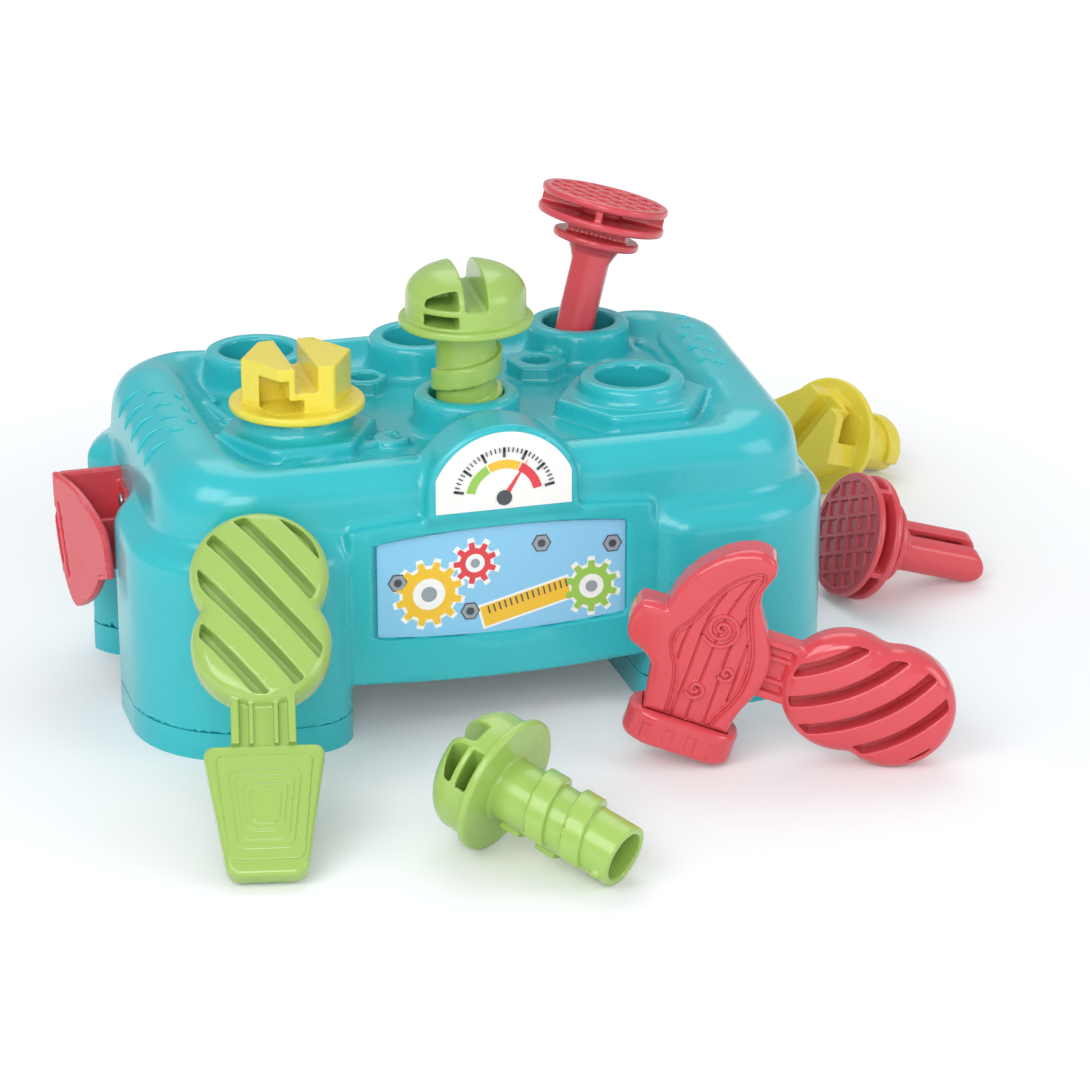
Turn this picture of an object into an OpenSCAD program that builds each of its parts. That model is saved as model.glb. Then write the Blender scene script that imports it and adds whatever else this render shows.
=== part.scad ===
// Toy workbench for small children: a hollow moulded bench on four legs with six
// holes in its top, two screws, two bolts, two nails, a hammer, a scraper-driver
// and a holder on its left side. Millimetres, +X right, +Y back, +Z up. The origin
// is on the ground at the centre of the bench.

/* [Bench] */
// Width of the bench across its legs, left to right
bench_w = 297; // [286:1:330]
// Depth of the bench across its legs, front to back
bench_d = 174; // [168:1:190]
// Height of the tray floor, where the rings stand
tray_z = 113; // [106:1:120]
// Height of the rim round the tray above the tray floor
rim_h = 3.5; // [2:0.5:5]
// Height of the two side rolls above the tray floor
roll_h = 10; // [8:0.5:12]
// Height of the back rim above the front rim
back_rise = 8; // [4:0.5:9]
// Wall thickness of the moulded shell
wall = 3; // [2.4:0.1:3.6]
// Plan radius of the legs' outer corners
leg_corner_r = 46; // [36:1:50]
// Plan radius of the legs' other corners
leg_inner_r = 20; // [12:1:24]
// Front to back length of the two front legs
front_leg_len = 88; // [70:1:92]
// Front to back length of the two back legs
back_leg_len = 52; // [44:1:56]
// Height of the shoulders on top of the legs
shoulder_z = 87; // [78:1:90]
// Rise of the legs' shoulders from front to back
shoulder_rise = 8; // [0:1:10]
// Rounding of the shoulder edge
shoulder_round = 9; // [5:1:12]
// Height of the beams' lower edge above the ground
arch_z = 24; // [18:1:30]
// Clear width between the two front legs
arch_w = 123; // [116:1:130]

/* [Upper block] */
// Step from the legs' side faces in to the upper block
side_step = 13; // [8:1:15]
// Step from the legs' front faces back to the upper block
front_step = 11; // [9:1:14]
// Step from the legs' back faces in to the upper block
back_step = 6; // [4:1:8]
// Plan radius of the upper block's corners
deck_corner_r = 38; // [30:1:44]
// Rounding of the upper block's top edge
deck_round = 13; // [8:1:15]
// Width of the tray at its floor
tray_w = 204; // [198:1:212]
// Front to back length of the tray at its floor
tray_l = 125; // [118:1:130]
// How far each side panel is set in from the legs
panel_inset = 13; // [10:1:14]

/* [Rings] */
// Distance between the columns of holes
hole_pitch_x = 72; // [68:1:76]
// Distance between the two rows of holes
hole_pitch_y = 78; // [76:1:80]
// Distance of the holes' centre behind the bench's centre
hole_shift_y = 15; // [12:1:17]
// Height of the rings' tops above the tray floor
ring_h = 15; // [12:1:18]
// Outer radius of the rings
ring_r = 22.3; // [20:0.1:24]
// Radius of the six holes
hole_r = 15.6; // [14:0.1:17]
// Rounding of the rings' outer edge
ring_round = 3; // [1:0.5:4]
// Across-corner radius of the two hexagon bases
hex_base_r = 33.5; // [30:0.5:36]
// Height of the hexagon bases above the tray floor
hex_base_h = 7; // [5:0.5:9]

/* [Front] */
// Width of the window in the front
window_w = 106; // [98:1:110]
// Height of the window at its middle
window_h = 47; // [42:1:50]
// Height of the window's centre above the ground
window_z = 64.5; // [62:0.5:66]
// How far the window's upper and lower edges bow at their middle
window_bow = 3; // [1:0.5:5]
// How far the window frame stands out from the front wall
frame_out = 4; // [2:0.5:5]
// Depth of the window recess in its frame
recess = 2.5; // [1.5:0.5:3]
// Thickness of the printed labels
label_t = 0.6; // [0.4:0.1:0.8]
// Gap between a label's edge and the edge round it
label_gap = 0.4; // [0.2:0.1:0.8]
// Width of the arched badge on the front edge
badge_w = 64; // [58:1:70]
// Height of the badge at its middle
badge_h = 38; // [34:1:42]
// Rise of the badge's arched top
badge_bow = 22; // [16:1:26]
// Depth of the badge, front to back
badge_d = 22; // [16:1:26]
// Rim left round the label on the badge
badge_rim = 3.5; // [2.5:0.5:5]

/* [Feet] */
// Height of the foot caps that close the legs
foot_h = 12; // [9:0.5:16]
// Height of the plug that each cap pushes up inside its leg
plug_h = 8; // [5:0.5:12]
// Gap between the plug and the leg's inner wall
plug_gap = 0.15; // [0.1:0.05:0.3]

/* [Fasteners] */
// Radius of the screws' and bolts' shafts
shaft_r = 12.6; // [11:0.1:13]
// Gap between a thread's crest and the hole
thread_gap = 0.5; // [0.3:0.1:0.8]
// Rise of the thread in one turn
thread_pitch = 17; // [14:1:22]
// Height of the thread band
thread_band = 9; // [6:0.5:10]
// Height of the first thread above the end of the screws' shaft
screw_thread = 11; // [9:0.5:13]
// Height of the first thread above the end of the bolts' shaft
bolt_thread = 1; // [1:0.5:3]
// Angle that each thread band turns through
thread_sweep = 320; // [240:10:340]
// Radius of the flanges
flange_r = 28; // [25:0.5:30]
// Thickness of the flanges
flange_t = 3.6; // [3:0.1:4.5]
// Length of the screws' shaft below the flange
screw_len = 56; // [50:1:60]
// Length of the bolts' shaft below the flange
bolt_len = 42; // [36:1:46]
// Radius of the bore in the shafts' ends
shaft_bore_r = 9.6; // [8:0.1:10]
// Depth of the bore in the shafts' ends
shaft_bore_l = 34; // [20:1:36]
// Radius of the screws' domed head
dome_r = 25; // [22:0.5:26]
// Height of the screws' head above its flange
dome_h = 22; // [18:0.5:24]
// Height of the straight wall below the dome
dome_wall = 9; // [7:0.5:11]
// Distance across the flats of the bolts' hexagon head
hex_af = 40; // [36:0.5:42]
// Height of the bolts' head above its flange
hex_h = 19; // [17:0.5:22]
// Width of the driver slot in the heads
slot_w = 9.4; // [7:0.1:10.5]
// Height of the slot's floor above the flange
slot_floor = 8; // [7:0.5:9]
// Thickness of the walls left round the cored pockets
core_wall = 2.6; // [2:0.1:3]
// How far the raised screw stands above its seated place
screw_raise = 29.5; // [20:0.5:36]

/* [Nails] */
// Radius of the two head discs
nail_r = 28; // [25:0.5:30]
// Thickness of each head disc
nail_disc_t = 3.6; // [3:0.1:4.5]
// Gap between the two discs
nail_gap = 5; // [4:0.5:7]
// Radius of the collar below the head
collar_r = 19; // [17:0.5:21]
// Thickness of the collar
collar_t = 3.6; // [3:0.1:4.5]
// Length of the neck between the head and the collar
nail_neck = 5.5; // [5:0.5:9]
// Length of the two prongs below the collar
prong_len = 48; // [40:1:54]
// Width of each prong
prong_w = 16.3; // [14:0.1:17]
// Thickness of the two prongs together with the slit between them
prong_t = 24; // [20:0.5:26]
// Width of the slit between the prongs
prong_slit = 5; // [4:0.5:7]
// Lean of the raised nail, to the right
nail_lean = 15; // [8:0.5:16]
// Direction in which it leans, turned from straight to the right
nail_lean_turn = 11; // [0:1:20]
// Turn of the nail about its own axis
nail_turn = -22; // [-45:1:45]
// Length of the raised nail's prongs that is down in its hole
nail_in = 13; // [10:0.5:16]

/* [Tool grips] */
// Radius of the two lobes of a grip
grip_r = 27.5; // [25:0.5:29]
// Distance between the lobes' centres
grip_step = 31; // [26:1:34]
// Radius of a lobe of the hammer's grip
hammer_grip_r = 25.5; // [24:0.5:27]
// Distance between the two lobes of the hammer's grip
hammer_grip_step = 21; // [18:1:24]
// Thickness of a grip at its middle
grip_t = 22; // [18:1:26]
// Rounding of a grip's edge
grip_round = 7; // [4:0.5:9]
// Number of slanted slots in each face of a grip
slot_count = 5; // [3:1:6]
// Width of the slanted slots
grip_slot_w = 4.4; // [3:0.1:5]
// Distance from one slanted slot to the next
grip_slot_step = 14.5; // [12:0.5:16]
// Shift of the slots towards the end of the grip
grip_slot_shift = 6; // [0:0.5:8]
// Slant of the driver's slots, turned from the line of its grip
grip_slot_turn = 39; // [30:1:60]
// Slant of the hammer's slots, turned from the line of its grip
hammer_slot_turn = 46; // [30:1:60]
// Width of the rim left round the slots
grip_rim = 4; // [3:0.5:6]
// Thickness of the web left between the slots of both faces
grip_web = 3; // [2:0.5:6]

/* [Hammer] */
// Height of the hammer's head from its striking face to the top of the claw
head_h = 92; // [88:1:98]
// Thickness of the hammer's head
head_t = 17; // [14:0.5:20]
// Height of the handle's axis above the striking face
handle_y = 45; // [43:1:50]
// Half width of the striking cap
cap_half = 23; // [22:0.5:27]
// Height of the striking cap
cap_h = 14; // [11:0.5:15]
// Thickness of the striking cap
cap_t = 26; // [22:0.5:30]
// Width of the hammer's neck
neck_w = 25; // [23:0.5:29]
// Thickness of a tool's neck at its ribs
neck_t = 11; // [9:0.5:13]
// Length of the hammer's neck that shows
hammer_neck = 10; // [8:0.5:14]
// Depth of the panel sunk in each face of the head
panel_in = 1.6; // [1:0.2:2.4]
// Rim left round the sunk panel
panel_rim = 5; // [4:0.5:6]

/* [Driver] */
// Length of the driver's blade
blade_len = 55.5; // [48:0.5:58]
// Width of the blade at the neck
blade_wide = 48; // [44:1:52]
// Width of the blade at its tip
blade_tip = 30; // [26:1:34]
// Thickness of the blade at the neck
blade_t = 9; // [7:0.2:9.2]
// Height of each raised step on the blade
blade_step = 0.8; // [0.5:0.1:1]
// Length of the driver's neck that shows
driver_neck = 17; // [14:0.5:24]

/* [Holder] */
// Thickness of the holder's walls
holder_t = 3; // [2.4:0.1:3.6]
// Height of the holder's back wall
holder_h = 46; // [40:1:50]
// Height of the holder's upper edge above the ground
holder_z = 90; // [84:1:94]
// How far the holder stands out from the side panel
holder_out = 28; // [28:1:36]
// Gap between the holder's back wall and the back leg
holder_clear = 5; // [3:0.5:12]
// Width of the outer leaf
leaf_w = 50; // [44:1:54]
// Height of the outer leaf
leaf_h = 55; // [50:1:60]
// Radius of the two fixing screws' shanks
fix_r = 1.6; // [1.2:0.1:2]
// Length of the fixing screws' shanks
fix_len = 7; // [6:0.5:9]

/* [Hidden] */
$fn = 64;

// Where the loose pieces lie round the bench, and which way their shafts point
bolt_place = [225, 147];
bolt_heading = 30;
screw_place = [-31, -196];
screw_heading = -51;
nail_place = [204, 15];
nail_heading = 6.6;
hammer_place = [57, -132];
hammer_heading = -19;
driver_x = 21.5 - bench_w / 2;
driver_turn = -11.8;
driver_lean = 51.3;
// Clearance of a piece that leans on another
seat_gap = 0.3;
// Depth that a joined shape reaches into its neighbour, and overlap of a cut
bite = 1;

rim_z = tray_z + rim_h;
roll_z = tray_z + roll_h;
ring_z = tray_z + ring_h;
deck_x = bench_w / 2 - side_step;
deck_front = -bench_d / 2 + front_step;
deck_back = bench_d / 2 - back_step;
panel_x = bench_w / 2 - panel_inset;
leg_open_z = shoulder_z - shoulder_round;
frame_y = deck_front - frame_out;
window_y = frame_y + recess;
frame_border = 6.5;
frame_top = window_z + window_h / 2 + frame_border;
frame_drop = 2;
badge_y = frame_y - bite;
roll_r = 24;
roll_x = deck_x - roll_r;
back_rim_z = rim_z + back_rise;
sleeve_drop = 8;
bore_l = ring_h + wall + sleeve_drop;
tray_back = 15;
tray_corner = 22;
tray_flare = 8;
nut_r = 13.5;
nut_hole_r = 6;
small_nut_r = 10.5;

teal = "#2FB8C1";
yellow = "#F0DC46";
green = "#A6D468";
red = "#E2525C";

// Radius of the arc that rises by rise over a chord of length w
function arc_radius(w, rise) = (w * w / 4 + rise * rise) / (2 * rise);
// Points along a cubic curve from a to d, drawn towards b and c
function curve(a, b, c, d, n = 8) =
  [for (i = [0:n - 1]) let (t = i / n, s = 1 - t)
    s * s * s * a + 3 * s * s * t * b + 3 * s * t * t * c + t * t * t * d];

// Rectangle with round corners, centred
module round_rect(w, d, r) {
  square([w - 2 * r, d], center = true);
  square([w, d - 2 * r], center = true);
  for (x = [-1, 1], y = [-1, 1])
    translate([x * (w / 2 - r), y * (d / 2 - r)]) circle(r);
}

// Window outline: a rectangle whose upper and lower edges bow out
module barrel(w, h, bow) {
  r = arc_radius(w, bow);
  intersection() {
    square([w, h], center = true);
    translate([0, h / 2 - r]) circle(r, $fn = 180);
    translate([0, r - h / 2]) circle(r, $fn = 180);
  }
}

// Badge outline: straight sides and one arched top, standing on the X axis
module arched(w, h, rise) {
  r = arc_radius(w, rise);
  intersection() {
    translate([-w / 2, 0]) square([w, h]);
    translate([0, h - r]) circle(r, $fn = 128);
  }
}

// Disc with both edges rounded, from z = 0 up to t
module round_disc(r, t, e) {
  rotate_extrude()
    polygon(concat([[0, 0]], [for (a = [-90:30:0]) [r - e + e * cos(a), e + e * sin(a)]],
                   [for (a = [0:30:90]) [r - e + e * cos(a), t - e + e * sin(a)]], [[0, t]]));
}

// Round post from z = 0 up to h, with only its top edge rounded
module round_post(r, h, e) {
  rotate_extrude()
    polygon(concat([[0, 0], [r, 0]], [for (a = [0:18:90]) [r - e + e * cos(a), h - e + e * sin(a)]],
                   [[0, h]]));
}

// Block with round corners in plan and a rounded top edge, which may rise to the back
module soft_block(half_w, y0, y1, z0, front_z, back_z, corner, edge) {
  hull()
    for (x = [-1, 1] * (half_w - corner), end = [0, 1])
      translate([x, end == 0 ? y0 + corner : y1 - corner, z0])
        round_post(corner, (end == 0 ? front_z : back_z) - z0, edge, $fn = 36);
}

module at_hole(column, row) {
  translate([column * hole_pitch_x, hole_shift_y + row * hole_pitch_y / 2, 0]) children();
}

// Stands a flat outline up, facing the front: its extrusion runs from y to y + t
module facing_front(y, t) {
  translate([0, y + t, 0]) rotate([90, 0, 0]) linear_extrude(t) children();
}

// ---------------------------------------------------------------- bench shell
module bench_plan(inset) {
  round_rect(bench_w - 2 * inset, bench_d - 2 * inset, leg_corner_r - inset);
}

module leg_plan(side, end, inset) {
  leg_w = (bench_w - arch_w) / 2;
  leg_len = end < 0 ? front_leg_len : back_leg_len;
  intersection() {
    bench_plan(inset);
    translate([side * (bench_w - leg_w) / 2, end * (bench_d - leg_len) / 2])
      round_rect(leg_w - 2 * inset, leg_len - 2 * inset, leg_inner_r - inset);
  }
}

module legs_plan(inset) {
  for (side = [-1, 1], end = [-1, 1]) leg_plan(side, end, inset);
}

// The wall that joins the legs under the upper block
module panel_plan(inset) {
  translate([0, (deck_front + deck_back) / 2])
    round_rect(2 * (panel_x - inset), deck_back - deck_front - 2 * inset, deck_corner_r - inset);
}

module legs() {
  translate([0, 0, foot_h]) linear_extrude(leg_open_z - foot_h) legs_plan(0);
  intersection() {
    soft_block(bench_w / 2, -bench_d / 2, bench_d / 2, leg_open_z - bite, shoulder_z,
               shoulder_z + shoulder_rise, leg_corner_r, shoulder_round);
    translate([0, 0, leg_open_z - bite])
      linear_extrude(shoulder_round + shoulder_rise + 2 * bite) legs_plan(0);
  }
}

module rolls() {
  for (side = [-1, 1])
    hull() {
      translate([side * roll_x, deck_front + roll_r + 4, rim_z + bite - roll_r]) sphere(roll_r, $fn = 32);
      translate([side * roll_x, deck_back - 1.6 * roll_r, roll_z - roll_r]) sphere(roll_r, $fn = 32);
    }
}

module tray() {
  tray_y = deck_back - tray_back - tray_l / 2;
  translate([0, tray_y, 0]) hull() {
    translate([0, 0, tray_z]) linear_extrude(0.1) round_rect(tray_w, tray_l, tray_corner, $fn = 32);
    translate([0, 0, tray_z + rim_h + back_rise + bite]) linear_extrude(0.1)
      round_rect(tray_w + 2 * tray_flare, tray_l + tray_flare, tray_corner + tray_flare / 2, $fn = 32);
  }
}

// The space inside the shell, open below
module shell_hollow() {
  tray_y = deck_back - tray_back - tray_l / 2;
  translate([0, 0, -bite]) linear_extrude(leg_open_z + bite) legs_plan(wall);
  difference() {
    translate([0, 0, -bite]) linear_extrude(shoulder_z + bite) panel_plan(wall);
    translate([0, 0, -2 * bite]) linear_extrude(leg_open_z + 2 * bite) legs_plan(0);
  }
  difference() {
    soft_block(deck_x - wall, deck_front + wall, deck_back - wall, shoulder_z - bite, rim_z - wall,
               rim_z - wall, deck_corner_r - wall, deck_round - wall);
    translate([0, tray_y, tray_z - wall])
      linear_extrude(rim_h + 2 * bite)
        round_rect(tray_w + 2 * (rim_h + wall), tray_l + rim_h + 2 * wall, tray_corner + wall);
  }
}

module front_frame() {
  h = frame_top - arch_z + frame_drop;
  facing_front(frame_y, frame_out + bite)
    translate([0, frame_top - h / 2]) barrel(arch_w + 2 * wall, h, window_bow);
}

module spanner_relief(length, jaw) {
  relief = 3;
  linear_extrude(relief) {
    difference() {
      circle(jaw);
      translate([0, jaw / 2]) square([0.9 * jaw, 2 * jaw], center = true);
    }
    translate([-jaw / 3, -length]) square([2 * jaw / 3, length - jaw / 2]);
    translate([0, -length]) circle(jaw / 2);
  }
}

module bench_shell() {
  color(teal) difference() {
    union() {
      difference() {
        union() {
          legs();
          translate([0, 0, arch_z]) linear_extrude(shoulder_z - arch_z) panel_plan(0);
          soft_block(deck_x, deck_front, deck_back, leg_open_z, rim_z, back_rim_z, deck_corner_r,
                     deck_round);
          rolls();
          front_frame();
        }
        shell_hollow();
        tray();
      }
      for (column = [-1:1], row = [-1, 1]) at_hole(column, row) {
        translate([0, 0, tray_z - bite]) round_post(ring_r, ring_h + bite, ring_round);
        translate([0, 0, ring_z - bore_l]) cylinder(r = hole_r + wall, h = sleeve_drop + wall);
      }
      for (column = [-1, 1]) at_hole(column, -1)
        translate([0, 0, tray_z - bite]) rotate(30)
          cylinder(r = hex_base_r, h = hex_base_h + bite, $fn = 6);
      translate([46, 30, tray_z - bite]) rotate(12) cylinder(r = nut_r, h = hex_base_h + bite, $fn = 6);
      translate([-31, 29, tray_z - bite]) rotate(20)
        cylinder(r = small_nut_r, h = hex_base_h + bite, $fn = 6);
      translate([-36, -38, tray_z - bite]) rotate(-67.5) spanner_relief(50, 8);
      translate([106, 22, tray_z - bite]) rotate(-170) spanner_relief(30, 6);
      translate([-100, 30, tray_z - bite]) rotate(10) spanner_relief(28, 6);
      translate([0, 0, frame_top - bite]) facing_front(badge_y, badge_d)
        arched(badge_w, badge_h, badge_bow);
    }
    for (column = [-1:1], row = [-1, 1]) at_hole(column, row)
      translate([0, 0, ring_z - bore_l - bite]) cylinder(r = hole_r, h = bore_l + 2 * bite);
    translate([46, 30, tray_z]) cylinder(r = nut_hole_r, h = hex_base_h + bite);
    translate([-31, 29, tray_z]) cylinder(r = nut_hole_r, h = hex_base_h + bite);
    translate([0, 0, window_z]) facing_front(frame_y - bite, recess + bite)
      barrel(window_w, window_h, window_bow);
    holder_screw_places() translate([0, 0, -bite]) cylinder(r = fix_r, h = fix_len, $fn = 24);
  }
}

// ----------------------------------------------------------------- foot caps
module foot_cap(side, end) {
  plug_in = wall + plug_gap;
  color(teal) {
    difference() {
      linear_extrude(foot_h) leg_plan(side, end, 0);
      translate([0, 0, wall]) linear_extrude(foot_h) leg_plan(side, end, plug_in);
    }
    translate([0, 0, wall]) linear_extrude(foot_h + plug_h - wall) difference() {
      leg_plan(side, end, plug_in);
      leg_plan(side, end, plug_in + wall);
    }
  }
}

module foot_cap_front_left() foot_cap(-1, -1);
module foot_cap_front_right() foot_cap(1, -1);
module foot_cap_back_left() foot_cap(-1, 1);
module foot_cap_back_right() foot_cap(1, 1);

// -------------------------------------------------------------------- labels
module window_label() {
  color("#8CC8EA") translate([0, 0, window_z]) facing_front(window_y - label_t, label_t)
    barrel(window_w - 2 * label_gap, window_h - 2 * label_gap, window_bow);
}

module badge_label() {
  color("white") translate([0, 0, frame_top + badge_rim / 2]) facing_front(badge_y - label_t, label_t)
    arched(badge_w - 2 * badge_rim, badge_h - 1.5 * badge_rim, badge_bow - badge_rim);
}

// -------------------------------------------------------------------- holder
holder_back_y = bench_d / 2 - back_leg_len - holder_clear;
// The leaf's front edge stays just outside the front leg's side face
leaf_turn = asin((holder_out - panel_inset - seat_gap) / leaf_w);
pad_w = bench_d - front_leg_len - back_leg_len - 2 * holder_clear;
pad_h = 34;

// The two screws that hold the holder's pad to the left side panel
module holder_screw_places() {
  for (z = [-1, 1])
    translate([-panel_x, holder_back_y - pad_w / 2, holder_z - holder_h / 2 + z * pad_h / 3])
      rotate([0, 90, 0]) children();
}

module holder_screws() {
  head_h = 1.6;
  color("#8A8F96") holder_screw_places() {
    translate([0, 0, -holder_t - head_h]) difference() {
      round_disc(2 * fix_r, head_h, 0.6, $fn = 32);
      translate([-0.4, -2, -0.2]) cube([0.8, 4, 0.8]);
      translate([-2, -0.4, -0.2]) cube([4, 0.8, 0.8]);
    }
    translate([0, 0, -holder_t]) cylinder(r = fix_r, h = fix_len - bite, $fn = 24);
  }
}

// Outer leaf of the holder, drawn in shares of its width and height from its upper back corner
module leaf_outline() {
  tip = [0.35, -1];
  edge = concat(
    curve([0, 0], [0.4, 0.02], [0.68, -0.08], [0.88, -0.22]),
    curve([0.88, -0.22], [0.95, -0.28], [0.97, -0.42], [1, -0.58]),
    [[1, -0.58]],
    curve([0.83, -0.64], [0.76, -0.76], [0.6, -0.93], tip),
    curve(tip, [0.2, -1], [0.03, -0.62], [0, -0.27]));
  polygon([for (p = edge) [p[0] * leaf_w, p[1] * leaf_h]]);
}

module tool_holder() {
  back_x = -panel_x - holder_out;
  low_z = holder_z - holder_h;
  color(red) difference() {
    union() {
      // pad on the side panel
      translate([-panel_x - holder_t, holder_back_y - pad_w, holder_z - holder_h / 2 - pad_h / 2])
        cube([holder_t, pad_w, pad_h]);
      // back wall, standing out from the panel
      translate([back_x, holder_back_y - holder_t, low_z])
        cube([holder_out, holder_t, holder_h]);
      translate([back_x, holder_back_y, holder_z]) rotate([0, 0, leaf_turn]) rotate([90, 0, -90])
        linear_extrude(holder_t) leaf_outline();
      // neck from the pad to the leaf
      translate([-panel_x - holder_out * 0.7, holder_back_y - pad_w, holder_z - holder_h / 2 - 8])
        cube([holder_out * 0.7, holder_t, 16]);
    }
    holder_screw_places() translate([0, 0, -holder_t - bite]) cylinder(r = fix_r, h = fix_len, $fn = 24);
  }
}

// ---------------------------------------------------------------- fasteners
// The screws, bolts and nails are drawn with the flange's underside at z = 0,
// the head above it and the shaft below.

// Thread band that climbs round the shaft from its left side, its lower edge from z = start up
module thread(start) {
  steps = 24;
  root = shaft_r - bite;
  crest = hole_r - thread_gap;
  points = [for (i = [0:steps]) let (
      a = 180 + i * thread_sweep / steps,
      low = start + thread_pitch * i * thread_sweep / steps / 360,
      way = [cos(a), sin(a)])
    for (p = [[root, 0], [crest, 0], [crest, thread_band], [root, thread_band]])
      [p[0] * way[0], p[0] * way[1], low + p[1]]];
  sides = [for (i = [0:steps - 1], j = [0:3]) let (a = 4 * i + j, b = 4 * i + (j + 1) % 4)
    for (f = [[a, b, b + 4], [a, b + 4, a + 4]]) f];
  end = 4 * steps;
  polyhedron(points, concat(sides, [[3, 2, 1], [3, 1, 0],
    [end, end + 1, end + 2], [end, end + 2, end + 3]]), convexity = 4);
}

// Shaft with two turns of thread, the first one starting this far above its end
module threaded_shaft(length, first) {
  chamfer = 1;
  nib_r = 1.6;
  difference() {
    union() {
      translate([0, 0, -length]) cylinder(r1 = shaft_r - chamfer, r2 = shaft_r, h = chamfer);
      translate([0, 0, chamfer - length]) cylinder(r = shaft_r, h = length);
      for (turn = [0, 1]) thread(first - length + turn * thread_pitch);
      translate([-shaft_r, 0, 2 * chamfer - length]) cylinder(r = nib_r, h = 2 * nib_r, $fn = 24);
    }
    translate([0, 0, -length - bite]) cylinder(r = shaft_bore_r, h = shaft_bore_l + bite);
  }
}

// One slot across the head, for the driver's blade
module driver_slot() {
  translate([-slot_w / 2, -2 * flange_r, flange_t + slot_floor])
    cube([slot_w, 4 * flange_r, dome_h + hex_h]);
}

module green_screw() {
  $fn = 48;
  pocket_x = slot_w / 2 + core_wall;
  pocket_w = dome_r * 0.8 - pocket_x;
  color(green) {
    threaded_shaft(screw_len, screw_thread);
    difference() {
      union() {
        round_disc(flange_r, flange_t, 1.2);
        rotate_extrude() polygon(concat([[0, flange_t - bite], [dome_r, flange_t - bite]],
          [for (a = [0:10:90]) [dome_r * pow(cos(a), 0.8),
            flange_t + dome_wall + (dome_h - dome_wall) * sin(a)]]));
      }
      driver_slot();
      for (turn = [0, 180]) rotate(turn) {
        translate([-pocket_x - pocket_w, -2 * dome_r, flange_t + core_wall / 2])
          cube([pocket_w, 2 * dome_r - core_wall, dome_wall / 2]);
        translate([-pocket_x - pocket_w, -2 * dome_r, flange_t + dome_wall / 2 + 1.5 * core_wall])
          cube([pocket_w, 2 * dome_r - core_wall, dome_wall / 2 + core_wall]);
      }
    }
  }
}

module yellow_bolt() {
  $fn = 48;
  hex_r = hex_af / 2 / cos(30);
  pocket_x = slot_w / 2 + core_wall;
  pocket_w = hex_af / 2 - core_wall - pocket_x;
  color(yellow) {
    threaded_shaft(bolt_len, bolt_thread);
    difference() {
      union() {
        round_disc(flange_r, flange_t, 1.2);
        translate([0, 0, flange_t - bite]) rotate(30) cylinder(r = hex_r, h = hex_h + bite, $fn = 6);
      }
      driver_slot();
      for (turn = [0, 180]) rotate(turn) {
        translate([-pocket_x - pocket_w, -2 * hex_r, flange_t])
          cube([pocket_w, 2 * hex_r - core_wall / 2, hex_h - 2 * core_wall]);
        translate([-pocket_x - core_wall, -2 * hex_r, flange_t])
          cube([pocket_x + core_wall - core_wall / 2, 2 * hex_r - core_wall / 2, slot_floor - core_wall]);
      }
    }
  }
}

module prong_outline() {
  shoulder = 12;
  half = prong_w / 2;
  polygon([[-shoulder, bite], [shoulder, bite], [shoulder, 0], [half, -shoulder / 2],
           [half, half - prong_len], [-half, half - prong_len], [-half, -shoulder / 2], [-shoulder, 0]]);
  translate([0, half - prong_len]) circle(half);
}

module red_nail() {
  head_z = collar_t + nail_neck;
  core_r = 9;
  rib = 3;
  trough = 3;
  upper_z = head_z + nail_disc_t + nail_gap;
  color(red) {
    difference() {
      intersection() {
        translate([0, prong_t / 2, 0]) rotate([90, 0, 0]) linear_extrude(prong_t) prong_outline();
        translate([0, 0, -prong_len]) union() {
          cylinder(r = prong_t / 2, h = prong_len);
          translate([0, 0, prong_len - 4]) cylinder(r1 = prong_t / 2, r2 = prong_t / 2 + 2, h = 4 + bite);
        }
      }
      translate([-prong_w, -prong_slit / 2, -prong_len - bite])
        cube([2 * prong_w, prong_slit, prong_len - prong_w / 2]);
      translate([trough - prong_w / 2, trough - prong_t / 2, prong_w / 2 - prong_len])
        cube([prong_w - 2 * trough, prong_t - 2 * trough, prong_len - 1.4 * prong_w]);
    }
    round_disc(collar_r, collar_t, 1);
    translate([-12.5, -8, collar_t - bite]) cube([25, 16, nail_neck + 2 * bite]);
    translate([0, 0, head_z]) round_disc(nail_r, nail_disc_t, 1.2);
    translate([0, 0, upper_z - nail_gap - bite]) cylinder(r = core_r, h = nail_gap + 2 * bite);
    for (turn = [0, 90]) rotate(turn)
      translate([bite - nail_r, -rib / 2, upper_z - nail_gap - bite])
        cube([2 * (nail_r - bite), rib, nail_gap + 2 * bite]);
    translate([0, 0, upper_z]) round_disc(nail_r, nail_disc_t, 1.2);
  }
}

// Lays a fastener on the ground: it rests on the edge of its head, big in radius,
// and on the end of its shaft, small in radius and span further along
module laid(big, small, span, drop, place, heading, roll) {
  tilt = atan((big - small) / span);
  translate([place[0], place[1], big * cos(tilt) - drop * sin(tilt)])
    rotate([0, 0, heading]) rotate([0, tilt - 90, 0]) rotate([0, 0, roll]) children();
}

module bolt_seated() at_hole(-1, -1) translate([0, 0, ring_z]) yellow_bolt();
module bolt_loose()
  laid(flange_r, shaft_r, bolt_len - 1, 0, bolt_place, bolt_heading, 62) yellow_bolt();
module screw_raised() at_hole(0, -1) translate([0, 0, ring_z + screw_raise]) rotate(-4) green_screw();
module screw_loose()
  laid(flange_r, shaft_r, screw_len - 1, 0, screw_place, screw_heading, 67) green_screw();

// The tip of the leaning nail touches the far side of its hole
module nail_raised() {
  side = (nail_in - prong_w / 4) * sin(nail_lean) - (hole_r - seat_gap - prong_t / 2);
  at_hole(1, 1) rotate([0, 0, nail_lean_turn]) translate([side, 0, ring_z]) rotate([0, nail_lean, 0])
    translate([0, 0, prong_len - nail_in]) rotate([0, 0, nail_turn - nail_lean_turn]) red_nail();
}

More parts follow.
